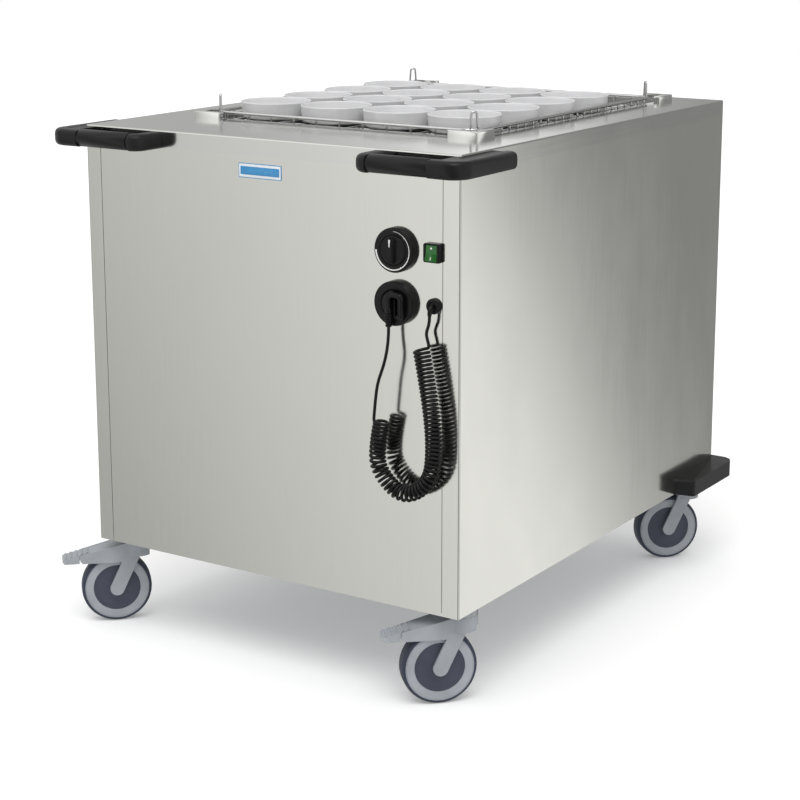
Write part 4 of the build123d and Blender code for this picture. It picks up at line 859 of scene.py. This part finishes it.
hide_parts("handle_grips")


# Rear bumpers: black moulded angles at the foot of the two rear corners, one fixed to each, that
# stand out from the side and the rear to take knocks.
bumper_low, bumper_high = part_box("rear_bumpers")
bumper_mesh = bmesh.new()
bumper_out = bumper_high.x - right_x
bumper_start = rear_y - 0.175
bumper_end = bumper_high.y
for side in (1, -1):
    corner = right_x if side > 0 else left_x
    shape = [(0, bumper_start), (bumper_out, bumper_start + 0.015), (bumper_out, bumper_end),
             (-0.045, bumper_end), (-0.060, rear_y), (0, rear_y)]
    outline = rounded([(corner + side * x, y) for x, y in shape], (0, 0.006, 0.026, 0.006, 0, 0), steps=10)
    raise_block(bumper_mesh, outline, bumper_low.z, bumper_high.z, 0.006, clear_of_body, steps=6)
bumpers = settled("corner_bumpers", bumper_mesh, handle_black, "cabinet", sharp=50)
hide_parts("rear_bumpers")


# Casters: four swivel casters with grey moulded forks and blue-grey rubber tyres on two-tone wheels.
# The front pair has a foot brake with a ribbed pedal over the wheel.
fork_grey = moulded("fork_grey", paint(150, 154, 159), 0.34, 0.46, fine=1400, strength=0.08)
hub_grey = moulded("hub_grey", paint(154, 157, 163), 0.32, 0.44, fine=1400, strength=0.06)
disc_grey = moulded("disc_grey", paint(66, 70, 82), 0.38, 0.5, fine=1400, strength=0.08)
tread = moulded("tread_rubber", paint(54, 59, 73), 0.5, 0.66, fine=900, strength=0.2)
axle_way = Vector((-1, 1, 0)).normalized()
for place in ("front_right", "front_left", "rear_right", "rear_left"):
    dress(zinc, place + "_caster_head")
    dress(fork_grey, place + "_fork")
    dress(bright_zinc, place + "_axle")
    if place.startswith("front"):
        dress(fork_grey, place + "_brake_pedal")
    wheel_low, wheel_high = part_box(place + "_tyre")
    hub = (wheel_low + wheel_high) / 2
    wheel_body = place + "_wheel"
    tyre_mesh = bmesh.new()
    tyre_side = [(0.016, 0.057), (0.016, 0.0585), (0.0156, 0.0600), (0.0142, 0.0612), (0.0115, 0.0622),
                 (0.0085, 0.0625)]
    tyre_shape = tyre_side + [(-along, radius) for along, radius in tyre_side[::-1]]
    turn_piece(tyre_mesh, tyre_shape + [tyre_shape[0]], hub, axle_way, sides=120)
    tyre = settled(place + "_tread", tyre_mesh, tread, wheel_body, sharp=35)
    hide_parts(place + "_tyre")
    rim_mesh = bmesh.new()
    rim_side = [(0.0155, 0.057), (0.0155, 0.0562), (0.0148, 0.0556), (0.0148, 0.0552), (0.0155, 0.0546),
                (0.0155, 0.0424), (0.0151, 0.0419), (0.0146, 0.0417)]
    rim_shape = rim_side + [(-along, radius) for along, radius in rim_side[::-1]]
    turn_piece(rim_mesh, rim_shape, hub, axle_way, sides=120)
    rim = settled(place + "_rim", rim_mesh, hub_grey, wheel_body, sharp=35)
    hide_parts(place + "_wheel_hub")
    disc_mesh = bmesh.new()
    disc_side = [(0.0146, 0.0416), (0.0143, 0.0408), (0.0138, 0.0402), (0.0138, 0.0372), (0.0132, 0.0366),
                 (0.0132, 0.0175), (0.0138, 0.0165), (0.0143, 0.016), (0.0145, 0.0152), (0.0145, 0.0062)]
    disc_shape = disc_side + [(-along, radius) for along, radius in disc_side[::-1]]
    turn_piece(disc_mesh, disc_shape, hub, axle_way, sides=96)
    settled(place + "_wheel_disc", disc_mesh, disc_grey, wheel_body, sharp=35)


# Badge: a plain printed plate stuck on the front, bare of any lettering: a blue band on a pale ground
# inside a thin blue frame.
badge_mesh = bmesh.new()
badge_blue = new_finish("badge_blue", paint(48, 136, 190), 0.0, 0.3)
badge_clouds = grain(badge_blue, (120, 120, 120), 3.0, 0.6)
set_finish(badge_blue, Base_Color=tint(badge_blue, badge_clouds, paint(42, 128, 182), paint(56, 144, 198)),
           Coat_Weight=0.4)
badge_rim = new_finish("badge_rim", paint(226, 230, 232), 0.0, 0.35)
rim_clouds = grain(badge_rim, (150, 150, 150), 3.0, 0.6)
set_finish(badge_rim, Base_Color=tint(badge_rim, rim_clouds, paint(218, 222, 225), paint(232, 235, 237)))


def lay_plate(name, from_side, height, wide, tall, corner, low, high, finish):
    """A thin rounded plate on the front panel."""
    mesh = bmesh.new()
    outline = rounded_box(wide / 2, tall / 2, corner, 5)
    raise_block(mesh, outline, low, high, 0.0003, lambda middle: middle.z > low + 0.0001, steps=2)
    for vertex in mesh.verts:
        x, y, z = vertex.co
        vertex.co = on_front(from_side - x, height + y, z)
    return settled(name, mesh, finish, "cabinet")


badge_side = 0.379
badge_height = 0.8465
lay_plate("badge_frame", badge_side, badge_height, 0.086, 0.024, 0.0015, -0.0001, 0.0006, badge_blue)
lay_plate("badge_ground", badge_side, badge_height, 0.0835, 0.0215, 0.0008, 0.0004, 0.0008, badge_rim)
lay_plate("badge_band", badge_side, badge_height, 0.078, 0.0135, 0.0008, 0.0006, 0.0010, badge_blue)


# Floor, light and camera: a plain pale studio floor, an even white surround whose grey bands show
# only in reflections, one soft light from above, a weaker one from the side, and the photograph's view.
floor_mesh = bpy.data.meshes.new("studio_floor")
reach = 12.0
floor_mesh.from_pydata([(-reach, -reach, 0), (reach, -reach, 0), (reach, reach, 0), (-reach, reach, 0)],
                       [], [(0, 1, 2, 3)])
studio_floor = bpy.data.objects.new("studio_floor", floor_mesh)
bpy.context.scene.collection.objects.link(studio_floor)
floor_finish = new_finish("floor_paper", paint(246, 246, 246), 0.0, 0.9)
path = join(floor_finish, "LightPath", {})
seen = join(floor_finish, "Math", {0: path.outputs["Is Camera Ray"], 1: path.outputs["Is Glossy Ray"]},
            operation="MAXIMUM").outputs[0]
glow = join(floor_finish, "Math", {0: seen, 1: 0.17}, operation="MULTIPLY").outputs[0]
set_finish(floor_finish, Emission_Color=(1, 1, 1, 1), Emission_Strength=glow)
floor_mesh.materials.append(floor_finish)
studio_floor.visible_glossy = False

world = bpy.data.worlds.new("studio")
bpy.context.scene.world = world
world.use_nodes = True
ray = join(world, "LightPath", {})
place = join(world, "TexCoord", {}).outputs["Generated"]
around = join(world, "TexGradient", {"Vector": place}, gradient_type="RADIAL").outputs["Fac"]
upness = join(world, "SeparateXYZ", {"Vector": place}).outputs["Z"]
leaning = join(world, "Math", {0: upness, 1: 0.064, 2: around}, operation="MULTIPLY_ADD").outputs[0]
walls = join(world, "ValToRGB", {"Fac": leaning})
walls.color_ramp.interpolation = "EASE"
walls.color_ramp.elements.remove(walls.color_ramp.elements[1])
walls.color_ramp.elements[0].color = (0.6, 0.6, 0.59, 1)
for turn, shade in ((0.05, 0.35), (0.105, 0.36), (0.115, 0.44), (0.122, 0.55), (0.131, 0.64), (0.14, 0.72),
                    (0.15, 0.8), (0.162, 0.9), (0.185, 0.95), (0.21, 0.3), (0.33, 0.25), (0.38, 0.55),
                    (0.43, 0.72), (0.56, 0.5), (0.61, 0.62), (0.637, 0.85), (0.647, 0.99), (0.652, 0.9),
                    (0.6567, 0.56), (0.661, 0.32), (0.666, 0.235), (0.74, 0.24), (0.79, 0.4), (0.824, 0.28),
                    (0.831, 0.38), (0.837, 0.62), (0.845, 0.9), (0.85, 0.58), (0.865, 0.4), (0.92, 0.6),
                    (1.0, 0.6)):
    walls.color_ramp.elements.new(turn).color = (shade, shade, shade * 0.985, 1)
light = world.node_tree.nodes["Background"]
light.inputs["Color"].default_value = (1, 1, 1, 1)
light.inputs["Strength"].default_value = 0.72
reflected = join(world, "Background", {"Color": walls.outputs["Color"], "Strength": 1.17}).outputs[0]
backdrop = join(world, "Background", {"Color": (1, 1, 1, 1), "Strength": 1.0}).outputs[0]
glossy_mix = join(world, "MixShader", {0: ray.outputs["Is Glossy Ray"], 1: light.outputs[0],
                                       2: reflected}).outputs[0]
camera_or_glass = join(world, "Math", {0: ray.outputs["Is Camera Ray"],
                                       1: ray.outputs["Is Transmission Ray"]},
                       operation="MAXIMUM").outputs[0]
seen_mix = join(world, "MixShader", {0: camera_or_glass, 1: glossy_mix, 2: backdrop}).outputs[0]
world.node_tree.links.new(seen_mix, world.node_tree.nodes["World Output"].inputs["Surface"])


def soft_sun(name, way, power, spread):
    """A broad soft light from far away, shining along way."""
    lamp = bpy.data.lights.new(name, "SUN")
    lamp.energy = power
    lamp.angle = math.radians(spread)
    holder = bpy.data.objects.new(name, lamp)
    holder.rotation_euler = Vector(way).to_track_quat("-Z", "Y").to_euler()
    bpy.context.scene.collection.objects.link(holder)


soft_sun("key_light", (-0.25, 0.45, -1.0), 1.15, 40)
soft_sun("side_light", (0.5, 0.35, -0.8), 0.25, 60)

camera_data = bpy.data.cameras.new("camera")
camera_data.lens = 87.64
camera_data.sensor_width = 36
camera_data.shift_x = -0.0123
camera_data.shift_y = -0.1
camera = bpy.data.objects.new("camera", camera_data)
yaw = -0.5742
pitch = 0.2146
camera.location = (1.9080, -2.9489, 1.2810)
looking = Vector((math.sin(yaw) * math.cos(pitch), math.cos(yaw) * math.cos(pitch), -math.sin(pitch)))
camera.rotation_euler = looking.to_track_quat("-Z", "Y").to_euler()
bpy.context.scene.collection.objects.link(camera)
bpy.context.scene.camera = camera
bpy.context.scene.view_settings.view_transform = "Standard"
